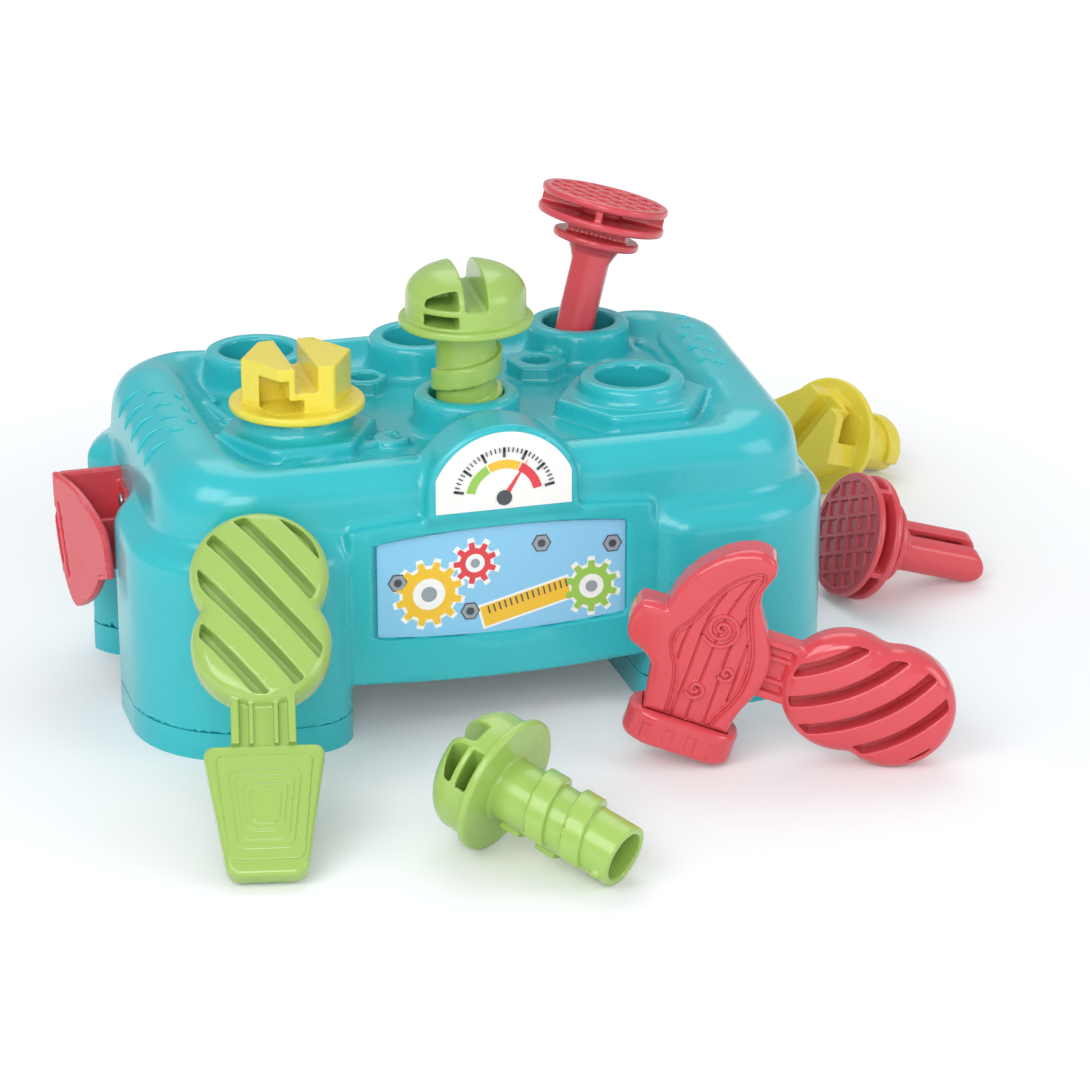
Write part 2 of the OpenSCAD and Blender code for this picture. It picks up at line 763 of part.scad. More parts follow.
module nail_loose() {
  edge = collar_t + nail_neck;
  low = prong_t / 2 * cos(acos(prong_w / prong_t) + nail_turn);
  span = edge + prong_len - 0.35 * prong_w;
  laid(nail_r, low, span, edge, nail_place, nail_heading, nail_turn) red_nail();
}

// --------------------------------------------------------------------- tools
// The tools are drawn flat in the XY plane, their thickness centred on z = 0.

// Two-lobed grip, its first lobe centred on the origin and its second on +X
module grip_plan(r, step) {
  for (x = [0, step]) translate([x, 0]) circle(r);
}

module grip(r, step, slot_turn) {
  pitch = grip_slot_step * r / grip_r / sin(slot_turn);
  face = (grip_t - grip_web) / 2;
  difference() {
    for (x = [0, step]) translate([x, 0, -grip_t / 2]) round_disc(r, grip_t, grip_round);
    for (side = [-1, 1])
      translate([0, 0, side * (grip_web + face + bite) / 2])
        linear_extrude(face + bite, center = true) intersection() {
          grip_plan(r - grip_rim, step);
          for (i = [0:slot_count - 1])
            translate([step / 2 + grip_slot_shift + (i - (slot_count - 1) / 2) * pitch, 0])
              rotate(slot_turn) square([4 * r, grip_slot_w], center = true);
        }
  }
}

// Flat neck from x = 0 to length, with four ribs that start at x = bare
module ribbed_neck(length, bare) {
  rib = 3;
  translate([0, -neck_w / 2, -neck_t / 4]) cube([length, neck_w, neck_t / 2]);
  for (y = [-neck_w / 2, -neck_w / 5 - rib / 4, neck_w / 5 - rib / 4, neck_w / 2 - rib])
    translate([bare, y, -neck_t / 2]) cube([length - bare, abs(y) < neck_w / 3 ? rib / 2 : rib, neck_t]);
}

// Outline of the hammer's head: claw above, cap's foot on the X axis, lug to the left.
// It is drawn in head_unit, for a head 92 high.
module head_outline(rim) {
  inset = rim / head_unit;
  claw = [6, 92 - inset];
  foot = (cap_h - bite) / head_unit;
  left = -foot_half + inset;
  right = foot_half - inset;
  polygon(head_unit * concat(
    [[left, foot + inset], [right, foot + inset]],
    curve([right, foot + inset], [18 - inset, 28], [26 - inset, 32], [25 - inset, 45]),
    curve([25 - inset, 45], [24 - inset, 60], [7 - inset / 2, 68], [12.5 - inset, 80]),
    curve([12.5 - inset, 80], [16 - inset, 86], [13 - inset, 92 - inset], claw),
    curve(claw, [-5, 92 - inset], [-22 + inset, 76], [-23 + inset, 58 - inset]),
    curve([-23 + inset, 58 - inset], [-25, 58 - inset], [-31, 58 - inset], [-33 + inset, 57 - inset]),
    curve([-33 + inset, 57 - inset], [-36 + inset, 52], [-36 + inset, 42], [-32 + inset, 39 + inset]),
    curve([-32 + inset, 39 + inset], [-28, 37 + inset], [-20 + inset, 36], [-20 + inset, 28]),
    curve([-20 + inset, 28], [-20 + inset, 24], [left, 20], [left, foot + inset])));
}

head_unit = head_h / 92;
foot_half = 18;
handle_x = 24 * head_unit;
neck_in = 16;
grip_x = handle_x + hammer_neck + hammer_grip_r - 3;

module hammer_frame() {
  run = grip_x + hammer_grip_step - cap_half;
  droop = atan2(handle_y, run) - asin(hammer_grip_r / norm([run, handle_y]));
  translate([hammer_place[0], hammer_place[1], cap_half * sin(droop)]) rotate([0, 0, hammer_heading])
    rotate([90, droop, 0]) children();
}

module hammer_head() {
  color(red) hammer_frame() difference() {
    translate([0, 0, -head_t / 2]) linear_extrude(head_t) head_outline(0);
    for (side = [-1, 1])
      translate([0, 0, side * head_t / 2]) linear_extrude(2 * panel_in, center = true)
        head_outline(panel_rim);
    translate([handle_x - neck_in, handle_y - neck_w / 2, -neck_t / 2])
      cube([1.5 * neck_in, neck_w, neck_t]);
  }
}

module hammer_cap() {
  slot_half = foot_half * head_unit + bite;
  color(red) hammer_frame() difference() {
    translate([0, cap_h / 2, 0]) rotate([90, 0, 0]) linear_extrude(cap_h, center = true)
      round_rect(2 * cap_half, cap_t, cap_t / 2 - bite);
    translate([-slot_half, cap_h - 3 - bite, -head_t / 2]) cube([2 * slot_half, 5, head_t]);
  }
}

module hammer_handle() {
  reach = grip_x - handle_x + neck_in;
  color(red) hammer_frame() translate([handle_x - neck_in, handle_y, 0]) {
    ribbed_neck(reach - hammer_grip_r / 2, 0);
    translate([reach, 0, 0]) grip(hammer_grip_r, hammer_grip_step, hammer_slot_turn);
  }
}

driver_len = blade_len + driver_neck + 2 * grip_r + grip_step;
blade_socket = 8;

// Leans the driver against the front of the upper block, its tip on the ground
module driver_frame() {
  toward = [sin(driver_turn), cos(driver_turn) * sin(driver_lean), cos(driver_turn) * cos(driver_lean)];
  core = grip_r - grip_round;
  reach = toward[1] * (driver_len - grip_r) + core * norm([toward[0], toward[1]])
    + (grip_t / 2 - grip_round) * toward[2] + grip_round;
  lift = blade_t / 2 * sin(driver_lean);
  translate([driver_x, deck_front - seat_gap - reach, lift]) rotate([0, 0, driver_turn])
    rotate([90 - driver_lean, 0, 0]) children();
}

module blade_outline(inset) {
  round = 6;
  wide = blade_wide / 2 - inset;
  tip = blade_tip / 2 - inset;
  hull() {
    for (x = [-1, 1]) {
      translate([x * (wide - round), blade_len - inset - round]) circle(round, $fn = 32);
      translate([x * (tip - round / 2), inset + round / 2]) circle(round / 2, $fn = 32);
    }
  }
}

module driver_blade() {
  color(green) driver_frame() difference() {
    union() {
      translate([0, 0, -blade_t / 2]) linear_extrude(blade_t) blade_outline(0);
      for (i = [1:3]) translate([0, 0, blade_t / 2 - bite])
        linear_extrude(bite + i * blade_step) blade_outline(i * 5);
    }
    translate([-neck_w / 2, blade_len - blade_socket, -neck_t / 4])
      cube([neck_w, blade_socket + bite, neck_t / 2]);
  }
}

module driver_handle() {
  reach = blade_socket + driver_neck + grip_r;
  color(green) driver_frame() translate([0, blade_len - blade_socket, 0]) rotate([0, 0, 90]) {
    ribbed_neck(reach - grip_r / 2, blade_socket);
    translate([reach, 0, 0]) grip(grip_r, grip_step, grip_slot_turn);
  }
}

bench_shell();
foot_cap_front_left();
foot_cap_front_right();
foot_cap_back_left();
foot_cap_back_right();
window_label();
badge_label();
tool_holder();
holder_screws();
bolt_seated();
bolt_loose();
screw_raised();
screw_loose();
nail_raised();
nail_loose();
hammer_head();
hammer_cap();
hammer_handle();
driver_blade();
driver_handle();
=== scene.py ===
from math import acos, asin, atan, atan2, ceil, cos, degrees, hypot, pi, radians, sin, sqrt

import bpy
import numpy as np
import openvdb
from mathutils import Matrix, Vector


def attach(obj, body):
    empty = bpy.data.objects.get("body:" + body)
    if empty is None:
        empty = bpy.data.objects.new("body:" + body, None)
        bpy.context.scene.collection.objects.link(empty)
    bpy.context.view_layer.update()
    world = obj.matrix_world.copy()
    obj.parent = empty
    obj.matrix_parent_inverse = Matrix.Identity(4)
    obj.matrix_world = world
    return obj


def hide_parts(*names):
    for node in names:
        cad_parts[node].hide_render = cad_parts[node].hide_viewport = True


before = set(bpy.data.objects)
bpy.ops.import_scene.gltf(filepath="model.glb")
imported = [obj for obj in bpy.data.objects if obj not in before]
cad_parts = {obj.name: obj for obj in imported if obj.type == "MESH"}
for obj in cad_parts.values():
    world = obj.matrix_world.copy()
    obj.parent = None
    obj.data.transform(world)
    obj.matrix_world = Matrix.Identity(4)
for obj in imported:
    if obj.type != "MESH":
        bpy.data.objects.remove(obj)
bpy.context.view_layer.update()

# ------------------------------------------------------------------ view, floor and light
# A product table: a long lens looking down on the bench from its front left corner, a white
# floor that keeps the soft contact shadows, with a painted glow that grows away from them so
# that the floor reads pure white there, and four soft boxes.
def shown(name, data):
    """A new object in the scene."""
    made = bpy.data.objects.new(name, data)
    bpy.context.scene.collection.objects.link(made)
    return made


look_at, camera_distance = Vector((0.0416, 0.002, 0.0446)), 1.7
turn, lift = radians(-16.28), radians(21.26)
back = Vector((sin(turn) * cos(lift), -cos(turn) * cos(lift), sin(lift)))
right = Vector((cos(turn), sin(turn), 0))
up = back.cross(right)
lens = bpy.data.cameras.new("table_lens")
lens.sensor_width = 36
lens.lens = 130.13
lens.clip_end = 30
camera = shown("table_camera", lens)
view = Matrix((right, up, back)).transposed().to_4x4()
view.translation = look_at + back * camera_distance
camera.matrix_world = view
bpy.context.scene.camera = camera
bpy.context.scene.view_settings.view_transform = "Standard"


def linear(hex_colour):
    """The linear colour of a hex value in sRGB."""
    channels = [int(hex_colour[i:i + 2], 16) / 255 for i in (1, 3, 5)]
    return [c / 12.92 if c <= 0.04045 else ((c + 0.055) / 1.055) ** 2.4 for c in channels] + [1]


def add_node(tree, kind, settings=None, links=None):
    """One node in a tree, with its settings or socket values and what feeds it: sockets, or
    nodes whose first output is meant."""
    made = tree.nodes.new(kind)
    for key, value in (settings or {}).items():
        if isinstance(key, str) and hasattr(made, key):
            setattr(made, key, value)
        else:
            made.inputs[key].default_value = value
    for key, source in (links or {}).items():
        if hasattr(source, "outputs"):
            source = source.outputs[0]
        tree.links.new(source, made.inputs[key])
    return made


def empty_material(name):
    """A material without nodes yet, and its tree."""
    made = bpy.data.materials.new(name)
    made.use_nodes = True
    made.node_tree.nodes.clear()
    return made, made.node_tree


floor_paint, tree = empty_material("studio_floor_matt_white_painted_glow")
matt = add_node(tree, "ShaderNodeBsdfDiffuse", {"Color": linear("#EEEFF0")})
# painted light: the floor glows faintly near the bench and more strongly away from it, so that it
# reads pure white far off while the shadows near the bench keep their depth
place = add_node(tree, "ShaderNodeTexCoord")
away = add_node(tree, "ShaderNodeVectorMath", {"operation": "LENGTH"},
                {0: place.outputs["Object"]})
painted_glow_strength = add_node(tree, "ShaderNodeMapRange", {"From Min": 0.28, "From Max": 0.75,
                                             "To Min": 0.09, "To Max": 0.4},
                {"Value": away.outputs["Value"]})
glow = add_node(tree, "ShaderNodeEmission", {"Color": (1, 1, 1, 1)}, {"Strength": painted_glow_strength})
seen = add_node(tree, "ShaderNodeAddShader", links={0: matt, 1: glow})
path = add_node(tree, "ShaderNodeLightPath")
mirrored = add_node(tree, "ShaderNodeMath", {"operation": "MAXIMUM"},
                    {0: path.outputs["Is Camera Ray"], 1: path.outputs["Is Glossy Ray"]})
mixed = add_node(tree, "ShaderNodeMixShader",
                 links={0: mirrored, 1: matt, 2: seen})
add_node(tree, "ShaderNodeOutputMaterial", links={"Surface": mixed})
floor_mesh = bpy.data.meshes.new("studio_floor")
wide = 9
floor_mesh.from_pydata([(-wide, -wide, 0), (wide, -wide, 0), (wide, wide, 0), (-wide, wide, 0)],
                       [], [(0, 1, 2, 3)])
floor_mesh.materials.append(floor_paint)
shown("studio_floor", floor_mesh)

world = bpy.data.worlds.new("studio_air")
world.use_nodes = True
tree = world.node_tree
tree.nodes.clear()
fill = add_node(tree, "ShaderNodeBackground", {"Color": linear("#F4F7FA"), "Strength": 0.55})
white = add_node(tree, "ShaderNodeBackground", {"Color": (1, 1, 1, 1), "Strength": 1.0})
path = add_node(tree, "ShaderNodeLightPath")
mixed = add_node(tree, "ShaderNodeMixShader",
                 links={0: path.outputs["Is Camera Ray"], 1: fill, 2: white})
add_node(tree, "ShaderNodeOutputWorld", links={"Surface": mixed})
bpy.context.scene.world = world

bench_middle = Vector((0.03, 0, 0.06))
for name, spot, size, power in (("key_left", (-1.0, -0.85, 1.1), 0.9, 10),
                                ("top_back", (0.25, 0.75, 1.3), 1.1, 6),
                                ("front_right", (1.25, -0.9, 0.6), 0.8, 5),
                                ("front_fill", (-0.45, -1.5, 0.75), 0.7, 7.5)):
    lamp = bpy.data.lights.new(name, "AREA")
    lamp.size = size
    lamp.energy = power
    box = shown(name, lamp)
    box.location = spot
    aim = bench_middle - Vector(spot)
    box.rotation_euler = aim.to_track_quat("-Z", "Y").to_euler()

# ------------------------------------------------------------------ bench shell
# The real shell is one thick-walled moulding in glossy polypropylene, hollow below, with four
# legs, a dished top with six ringed holes, and every edge rounded by its mould. All sizes in
# this section are millimetres.
MM = 0.001
far = 99  # a value well outside any shape
both, either = np.maximum, np.minimum  # inside both of two shapes, or inside at least one


def soft_union(a, b, k):
    """Two shapes joined with a fillet of about k."""
    near = np.maximum(k - abs(a - b), 0) / k
    return np.minimum(a, b) - near * near * k / 4


def soft_cut(a, b, k):
    """Shape a with shape b taken out, its new edge rounded by about k."""
    return -soft_union(-a, b, k)


def edge_round(a, b, e):
    """Where both a and b hold, with the edge between them rounded to radius e."""
    a, b = a + e, b + e
    return np.minimum(np.maximum(a, b), 0) + np.hypot(np.maximum(a, 0), np.maximum(b, 0)) - e


def slab(v, low, high):
    """Inside where v is between low and high."""
    return abs(v - (low + high) / 2) - (high - low) / 2


def plan_box(x, y, w, d, r):
    """Round-cornered rectangle, centred."""
    return edge_round(abs(x) - w / 2, abs(y) - d / 2, r)


def capsule(x, y, z, a, b, r):
    """Round bar from point a to point b."""
    ax, ay, az = (b[i] - a[i] for i in range(3))
    t = ((x - a[0]) * ax + (y - a[1]) * ay + (z - a[2]) * az) / (ax * ax + ay * ay + az * az)
    t = np.clip(t, 0, 1)
    return np.sqrt((x - a[0] - t * ax) ** 2 + (y - a[1] - t * ay) ** 2
                   + (z - a[2] - t * az) ** 2) - r


def arc_radius(w, rise):
    return (w * w / 4 + rise * rise) / (2 * rise)


def barrel(x, z, w, h, bow, r):
    """Rectangle whose upper and lower edges bow out."""
    sag = x * x / (2 * arc_radius(w, bow))
    return edge_round(abs(x) - w / 2, abs(z) - (h / 2 - sag), r)


def hexagon(x, y, r, turn, soft):
    """Regular hexagon of across-corner radius r, turned, its corners softened."""
    c, s = cos(radians(turn)), sin(radians(turn))
    u, v = abs(c * x + s * y), abs(c * y - s * x)
    flat = r * cos(pi / 6)
    side = u * cos(pi / 6) + v / 2
    return edge_round(side - flat, v - flat, soft)


def turned(x, y, place, turn):
    """Coordinates seen from a place on the bench, turned about the vertical."""
    c, s = cos(radians(turn)), sin(radians(turn))
    return c * (x - place[0]) + s * (y - place[1]), c * (y - place[1]) - s * (x - place[0])


bench_w, bench_d, foot_h, waist, tray_floor, wall = 297, 174, 12, 78, 113, 3
leg_x, leg_w, front_leg, rear_leg = 105, 87, (-43, 88), (61, 52)
block_w, block_d, block_y = 271, 157, 2.5
hole_r, ring_r, ring_top, sleeve_r = 15.6, 22.3, 128, 18.6
pitch_x, pitch_y, middle_y = 72, 78, 15
holes = [(column * pitch_x, middle_y + row * pitch_y / 2)
         for row in (-1, 1) for column in (-1, 0, 1)]
roll_x, roll_front, roll_back = 111.5, -48, 42.6


def roll_z(y):
    """Height of a side roll's middle line, which climbs towards the back."""
    return 93.5 + 5.5 * (y - roll_front) / (roll_back - roll_front)


def leg_plans(x, y, inset):
    """The bench's plan cut down to its four legs, drawn in by the inset."""
    plan = plan_box(x, y, bench_w - 2 * inset, bench_d - 2 * inset, 46 - inset)
    front, rear = (plan_box(abs(x) - leg_x, y - middle, leg_w - 2 * inset, deep - 2 * inset,
                            20 - inset) for middle, deep in (front_leg, rear_leg))
    return both(plan, either(front, rear))


def bench_shape(x, y, z):
    legs = leg_plans(x, y, 0)
    shoulder = 87 + 8 * np.clip((y + 41) / 82, 0, 1)
    body = edge_round(legs, z - shoulder, 9)
    upper = plan_box(x, y - block_y, block_w, block_d, 38)
    rim = 116.5 + 8 * np.clip((y + 38) / 81, 0, 1)
    block = both(edge_round(upper, z - rim, 13), waist - z)
    for side in (-1, 1):
        roll = capsule(x, y, z, (side * roll_x, roll_front, roll_z(roll_front)),
                       (side * roll_x, roll_back, roll_z(roll_back)), 24)
        block = soft_union(block, roll, 9)
    body = soft_union(body, block, 7)
    body = soft_union(body, edge_round(upper, slab(z, 24, 87), 1.5), 3)
    apron = edge_round(barrel(x, z - 58.25, 129, 72.5, 3, 2), slab(y, -80, -73), 1.6)
    body = soft_union(body, apron, 3.5)
    # the dished tray
    climb = np.clip(z - tray_floor, 0, 14)
    dish = plan_box(x, y - 3.5 - 0.15 * climb, 204 + 1.23 * climb, 125 + 0.9 * climb, 24)
    body = soft_cut(body, edge_round(dish, tray_floor - z, 7), 7)
    # the hollow inside
    inner = both(leg_plans(x, y, wall), z - waist)
    upper_in = plan_box(x, y - block_y, block_w - 2 * wall, block_d - 2 * wall, 38 - wall)
    low = both(both(upper_in, z - 87), -both(legs, z - waist))
    under_tray = both(plan_box(x, y - 3.5, 217, 134.5, 25), 110 - z)
    high = both(both(edge_round(upper_in, z - 113.5, 10), 86 - z), -under_tray)
    body = both(body, -either(either(inner, low), high))
    # hexagon bases, nuts and spanners moulded into the floor of the tray
    for hx, hy in (holes[0], holes[2]):
        base = hexagon(x - hx, y - hy, 33.5, 0, 3)
        body = soft_union(body, edge_round(base, slab(z, 112, 120), 2), 3)
    for nx, ny, r, turn in ((46, 30, 13.5, 42), (-31, 29, 10.5, 50)):
        nut = edge_round(hexagon(x - nx, y - ny, r, turn, 1.5), slab(z, 112, 120), 1.4)
        body = soft_union(body, nut, 2)
        body = soft_cut(body, both(np.hypot(x - nx, y - ny) - 6, tray_floor - z), 1.5)
    for place, turn, length, jaw in (((-36, -38), -67.5, 50, 8), ((106, 22), -170, 30, 6),
                                     ((-100, 30), 10, 28, 6)):
        u, v = turned(x, y, place, turn)
        head = both(np.hypot(u, v) - jaw, -plan_box(u, v - jaw, 0.9 * jaw, 2 * jaw, 1))
        shank = plan_box(u, v + length / 2, 0.66 * jaw, length, 2)
        foot = np.hypot(u, v + length) - jaw / 2
        tool = either(either(head, shank), foot)
        body = soft_union(body, edge_round(tool, slab(z, 111, 116), 1.2), 2)
    # raised ribbons that edge the right roll
    for line in (((108, 76, 117), (106.5, 58, 116), (103.5, 35, 114.5), (104, 8, 113.5),
                  (107, -10, 113.5), (108.5, -34, 114)),
                 ((114, 60, 121.5), (106.5, 38, 119), (106, 4, 117.5), (112, -22, 117.5),
                  (124, -32, 114.5))):
        ribbon = np.full_like(x, far)
        for a, b in zip(line, line[1:]):
            ribbon = either(ribbon, capsule(x, y, z, a, b, 1.6))
        body = soft_union(body, ribbon, 3)
    # rings, their sleeves below the tray, and the holes
    for hx, hy in holes:
        r = np.hypot(x - hx, y - hy)
        body = soft_union(body, edge_round(r - ring_r, slab(z, 111, ring_top), 3), 4.5)
        body = soft_union(body, edge_round(r - sleeve_r, slab(z, 102, 116), 0.5), 1)
    # the arched badge on the front edge
    arc = np.hypot(x, z - 97.23) - 34.27
    arch = both(edge_round(abs(x) - 32, arc, 3), 93.5 - z)
    body = soft_union(body, edge_round(arch, slab(y, -81, -59), 2.2), 4)
    for hx, hy in holes:
        bore = both(np.hypot(x - hx, y - hy) - hole_r, 100 - z)
        body = soft_cut(body, bore, 1.6)
    window = both(barrel(x, z - 64.5, 106, 47, 3, 2), y + 77.5)
    body = soft_cut(body, window, 1)
    return both(body, foot_h - z)


def moulded(name, shape, low, high, cell, place=None, adapt=0.02):
    """A closed mesh of a shape, in metres, its points moved onto the true surface and its
    shading taken from the shape itself, so that a moulded face reads as smooth."""
    block, band = 4, 9.0  # fine cells along a coarse one, and cells counted off the surface

    def spread(coarse):
        """What is known of each coarse cell, given to its fine ones."""
        return coarse.repeat(block, 0).repeat(block, 1).repeat(block, 2)

    low = np.array(low, np.float32) - 2 * cell
    counts = [int(ceil((high[i] + 2 * cell - low[i]) / cell / block)) + 1 for i in range(3)]
    middles = [low[i] + cell * (block * np.arange(counts[i], dtype=np.float32) + (block - 1) / 2)
               for i in range(3)]
    gx, gy, gz = np.meshgrid(*middles, indexing="ij")
    rough = shape(gx.ravel(), gy.ravel(), gz.ravel()).reshape(gx.shape)
    values = spread(np.where(rough < 0, -band, band)).astype(np.float32)
    where = np.nonzero(spread(abs(rough) < 6.5 * cell))
    spots = [low[i] + cell * where[i].astype(np.float32) for i in range(3)]
    values[where] = np.clip(shape(*spots) / cell, -band, band)
    grid = openvdb.FloatGrid(band)
    grid.copyFromArray(values)
    points, triangles, quads = grid.convertToPolygons(isovalue=0.0, adaptivity=adapt)
    points = (points * cell + low).astype(np.float32)
    reach = 0.15 * cell

    def slope(p):
        parts = []
        for i in range(3):
            step = np.zeros(3, np.float32)
            step[i] = reach
            parts.append(shape(*(p + step).T) - shape(*(p - step).T))
        parts = np.stack(parts, 1) / (2 * reach)
        return parts / np.maximum(np.linalg.norm(parts, axis=1, keepdims=True), 1e-6)

    for _ in range(2):
        gap = np.clip(shape(*points.T), -cell / 2, cell / 2)
        points = points - slope(points) * gap[:, None] * 0.9
    normals = slope(points)
    faces = [tuple(f) for f in triangles] + [tuple(f) for f in quads]
    first = np.array([f[:3] for f in faces])
    a, b, c = (points[first[:, i]] for i in range(3))
    facing = (np.cross(b - a, c - a) * normals[first[:, 0]]).sum(1)
    if np.median(facing) < 0:
        faces = [f[::-1] for f in faces]
    points = points * MM
    if place is not None:
        points = points @ np.array(place.to_3x3()).T + np.array(place.translation)
        normals = normals @ np.array(place.to_3x3()).T
    mesh = bpy.data.meshes.new(name)
    mesh.from_pydata(points.tolist(), [], faces)
    mesh.polygons.foreach_set("use_smooth", [True] * len(mesh.polygons))
    mesh.normals_split_custom_set_from_vertices(normals.tolist())
    return shown(name, mesh)


def tinted(base, share):
    """A linear colour made lighter or darker."""
    return [min(1, c * share) for c in base[:3]] + [1]


def rough_and_wave(tree, wear, low, high, height, strength, distance):
    """Roughness between low and high where the surface is worn, and a faint bump."""
    rough = add_node(tree, "ShaderNodeMapRange", {"To Min": low, "To Max": high}, {"Value": wear})
    wave = add_node(tree, "ShaderNodeBump", {"Strength": strength, "Distance": distance},
                    {"Height": height})
    return {"Roughness": rough.outputs["Result"], "Normal": wave.outputs["Normal"]}


def moulded_plastic(name, colour, gloss=0.24, deep=0.06):
    """Glossy injection-moulded plastic: an even colour that drifts very slightly with the
    flow of the melt, a polished face with a faint waviness, and duller patches from handling."""
    made, tree = empty_material(name)
    at = add_node(tree, "ShaderNodeTexCoord").outputs["Object"]
    # patches about 70 mm across in the flow and 22 mm in the wear, and a waviness of about 1 mm
    flow, wear, waves = (add_node(tree, "ShaderNodeTexNoise", {"Scale": scale, "Detail": detail},
                                  {"Vector": at}).outputs["Fac"]
                         for scale, detail in ((14, 3), (45, 4), (900, 2)))
    base = linear(colour)
    tint = add_node(tree, "ShaderNodeMix", {"data_type": "RGBA", 6: tinted(base, 1 - deep),
                                            7: tinted(base, 1 + deep)}, {0: flow})
    shell = add_node(tree, "ShaderNodeBsdfPrincipled",
                     {"IOR": 1.49, "Coat Weight": 0.25, "Coat Roughness": 0.12},
                     {"Base Color": tint.outputs[2],
                      **rough_and_wave(tree, wear, gloss - 0.05, gloss + 0.09, waves, 0.05,
                                       0.0002)})
    add_node(tree, "ShaderNodeOutputMaterial", links={"Surface": shell})
    return made


teal = moulded_plastic("polypropylene_teal_moulded", "#2FB8C1")
shell = moulded("bench_moulding", bench_shape, (-bench_w / 2, -bench_d / 2, foot_h),
                (bench_w / 2, bench_d / 2, 132), 1.25, adapt=0.05)
shell.data.materials.append(teal)
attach(shell, "bench")
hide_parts("bench_shell")

for cap in ("front_left", "front_right", "back_left", "back_right"):
    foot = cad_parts["foot_cap_" + cap]
    foot.data.materials.clear()
    foot.data.materials.append(teal)

# ------------------------------------------------------------------ screws and bolts
# Each is one hollow moulding: a head on a flange, cored from the side so that its walls stay
# thin, a driver slot across it, and a shaft with two bands of coarse thread. Sizes are
# millimetres, drawn with the flange's underside at zero and the shaft below.
flange_r, flange_t, slot_half, slot_floor = 28, 3.6, 4.7, 11.6
shaft_r, bore_r, thread_r, screw_len, bolt_len = 12.6, 9.6, 15.1, 56, 42


def disc(x, y, z, r, low, high, e):
    """Round plate from height low to high."""
    return edge_round(np.hypot(x, y) - r, slab(z, low, high), e)


def thread_bands(x, y, z, starts, rise=17, high=9, sweep=320, begin=180):
    """Flat bands of thread that climb round the shaft, each a little under one turn."""
    angle = np.degrees(np.arctan2(y, x)) - begin
    angle = np.where(angle < 0, angle + 360, angle)
    middle = rise * angle / 360 + high / 2
    ends = slab(angle, 0, sweep) * pi / 180 * shaft_r
    bands = np.full_like(x, far)
    for start in starts:
        band = edge_round(abs(z - start - middle) - high / 2, ends, 0.5)
        bands = either(bands, edge_round(band, np.hypot(x, y) - thread_r, 0.8))
    return bands


def threaded_shaft(x, y, z, length, starts):
    shaft = disc(x, y, z, shaft_r, -length, 2, 0.8)
    shaft = soft_union(shaft, thread_bands(x, y, z, starts), 0.8)
    nib = capsule(x, y, z, (-shaft_r, 0, 5 - length), (-shaft_r, 0, 3.6 - length), 1.6)
    shaft = soft_union(shaft, nib, 0.8)
    return soft_cut(shaft, disc(x, y, z, bore_r, -length - 9, 34 - length, 1), 0.8)


def driver_slot(x, z):
    return edge_round(abs(x) - slot_half, slot_floor - z, 1.2)


def screw_shape(x, y, z):
    r = np.hypot(x, y)
    climb = np.clip((z - 12.6) / 13, 0, None)
    swell = (np.clip(r / 25, 1e-3, None) ** 2.5 + climb ** 2) ** 0.5
    dome = np.where(z > 12.6, (swell - 1) * 14, r - 25)
    head = edge_round(dome, 1.5 - z, 0.5)
    head = soft_cut(head, driver_slot(x, z), 1)
    for side in (-1, 1):
        u, v = side * x, side * y
        arched = (np.hypot(u / 20.5, (z - 12.2) / 8) - 1) * 8
        upper = edge_round(edge_round(abs(u + 13.6) - 6.3, arched, 0.8), 12.2 - z, 0.6)
        lower = edge_round(abs(u + 13.6) - 6.3, abs(z - 7.1) - 2.4, 0.6)
        head = soft_cut(head, edge_round(either(upper, lower), v + 2.6, 0.6), 0.7)
    body = soft_union(disc(x, y, z, flange_r, 0, flange_t, 1.3), head, 1.2)
    return soft_union(body, threaded_shaft(x, y, z, screw_len, (-28, -45)), 1.5)


def bolt_shape(x, y, z):
    head = edge_round(hexagon(x, y, 40 / sqrt(3), 0, 1), abs(z - 11.8) - 10.8, 0.8)
    head = soft_cut(head, driver_slot(x, z), 1)
    for side in (-1, 1):
        u, v = side * x, side * y
        tall = edge_round(abs(u + 12.35) - 5.05, abs(z - 10.5) - 6.9, 0.9)
        low = edge_round(abs(u + 6.3) - 5, abs(z - 6.3) - 2.7, 0.9)
        head = soft_cut(head, edge_round(either(tall, low), v + 1.3, 0.6), 0.8)
    body = soft_union(disc(x, y, z, flange_r, 0, flange_t, 1.3), head, 1.2)
    return soft_union(body, threaded_shaft(x, y, z, bolt_len, (-24, -41)), 1.5)


def about(axis, turn):
    return Matrix.Rotation(radians(turn), 4, axis)


def shifted(x, y, z):
    return Matrix.Translation(Vector((x, y, z)) * MM)


def laid(big, small, span, drop, place, heading, roll):
    """Lying on the ground, on the edge of the head and the end of the shaft."""
    tilt = atan((big - small) / span)
    high = big * cos(tilt) - drop * sin(tilt)
    return (shifted(place[0], place[1], high) @ about("Z", heading)
            @ about("Y", degrees(tilt) - 90) @ about("Z", roll))


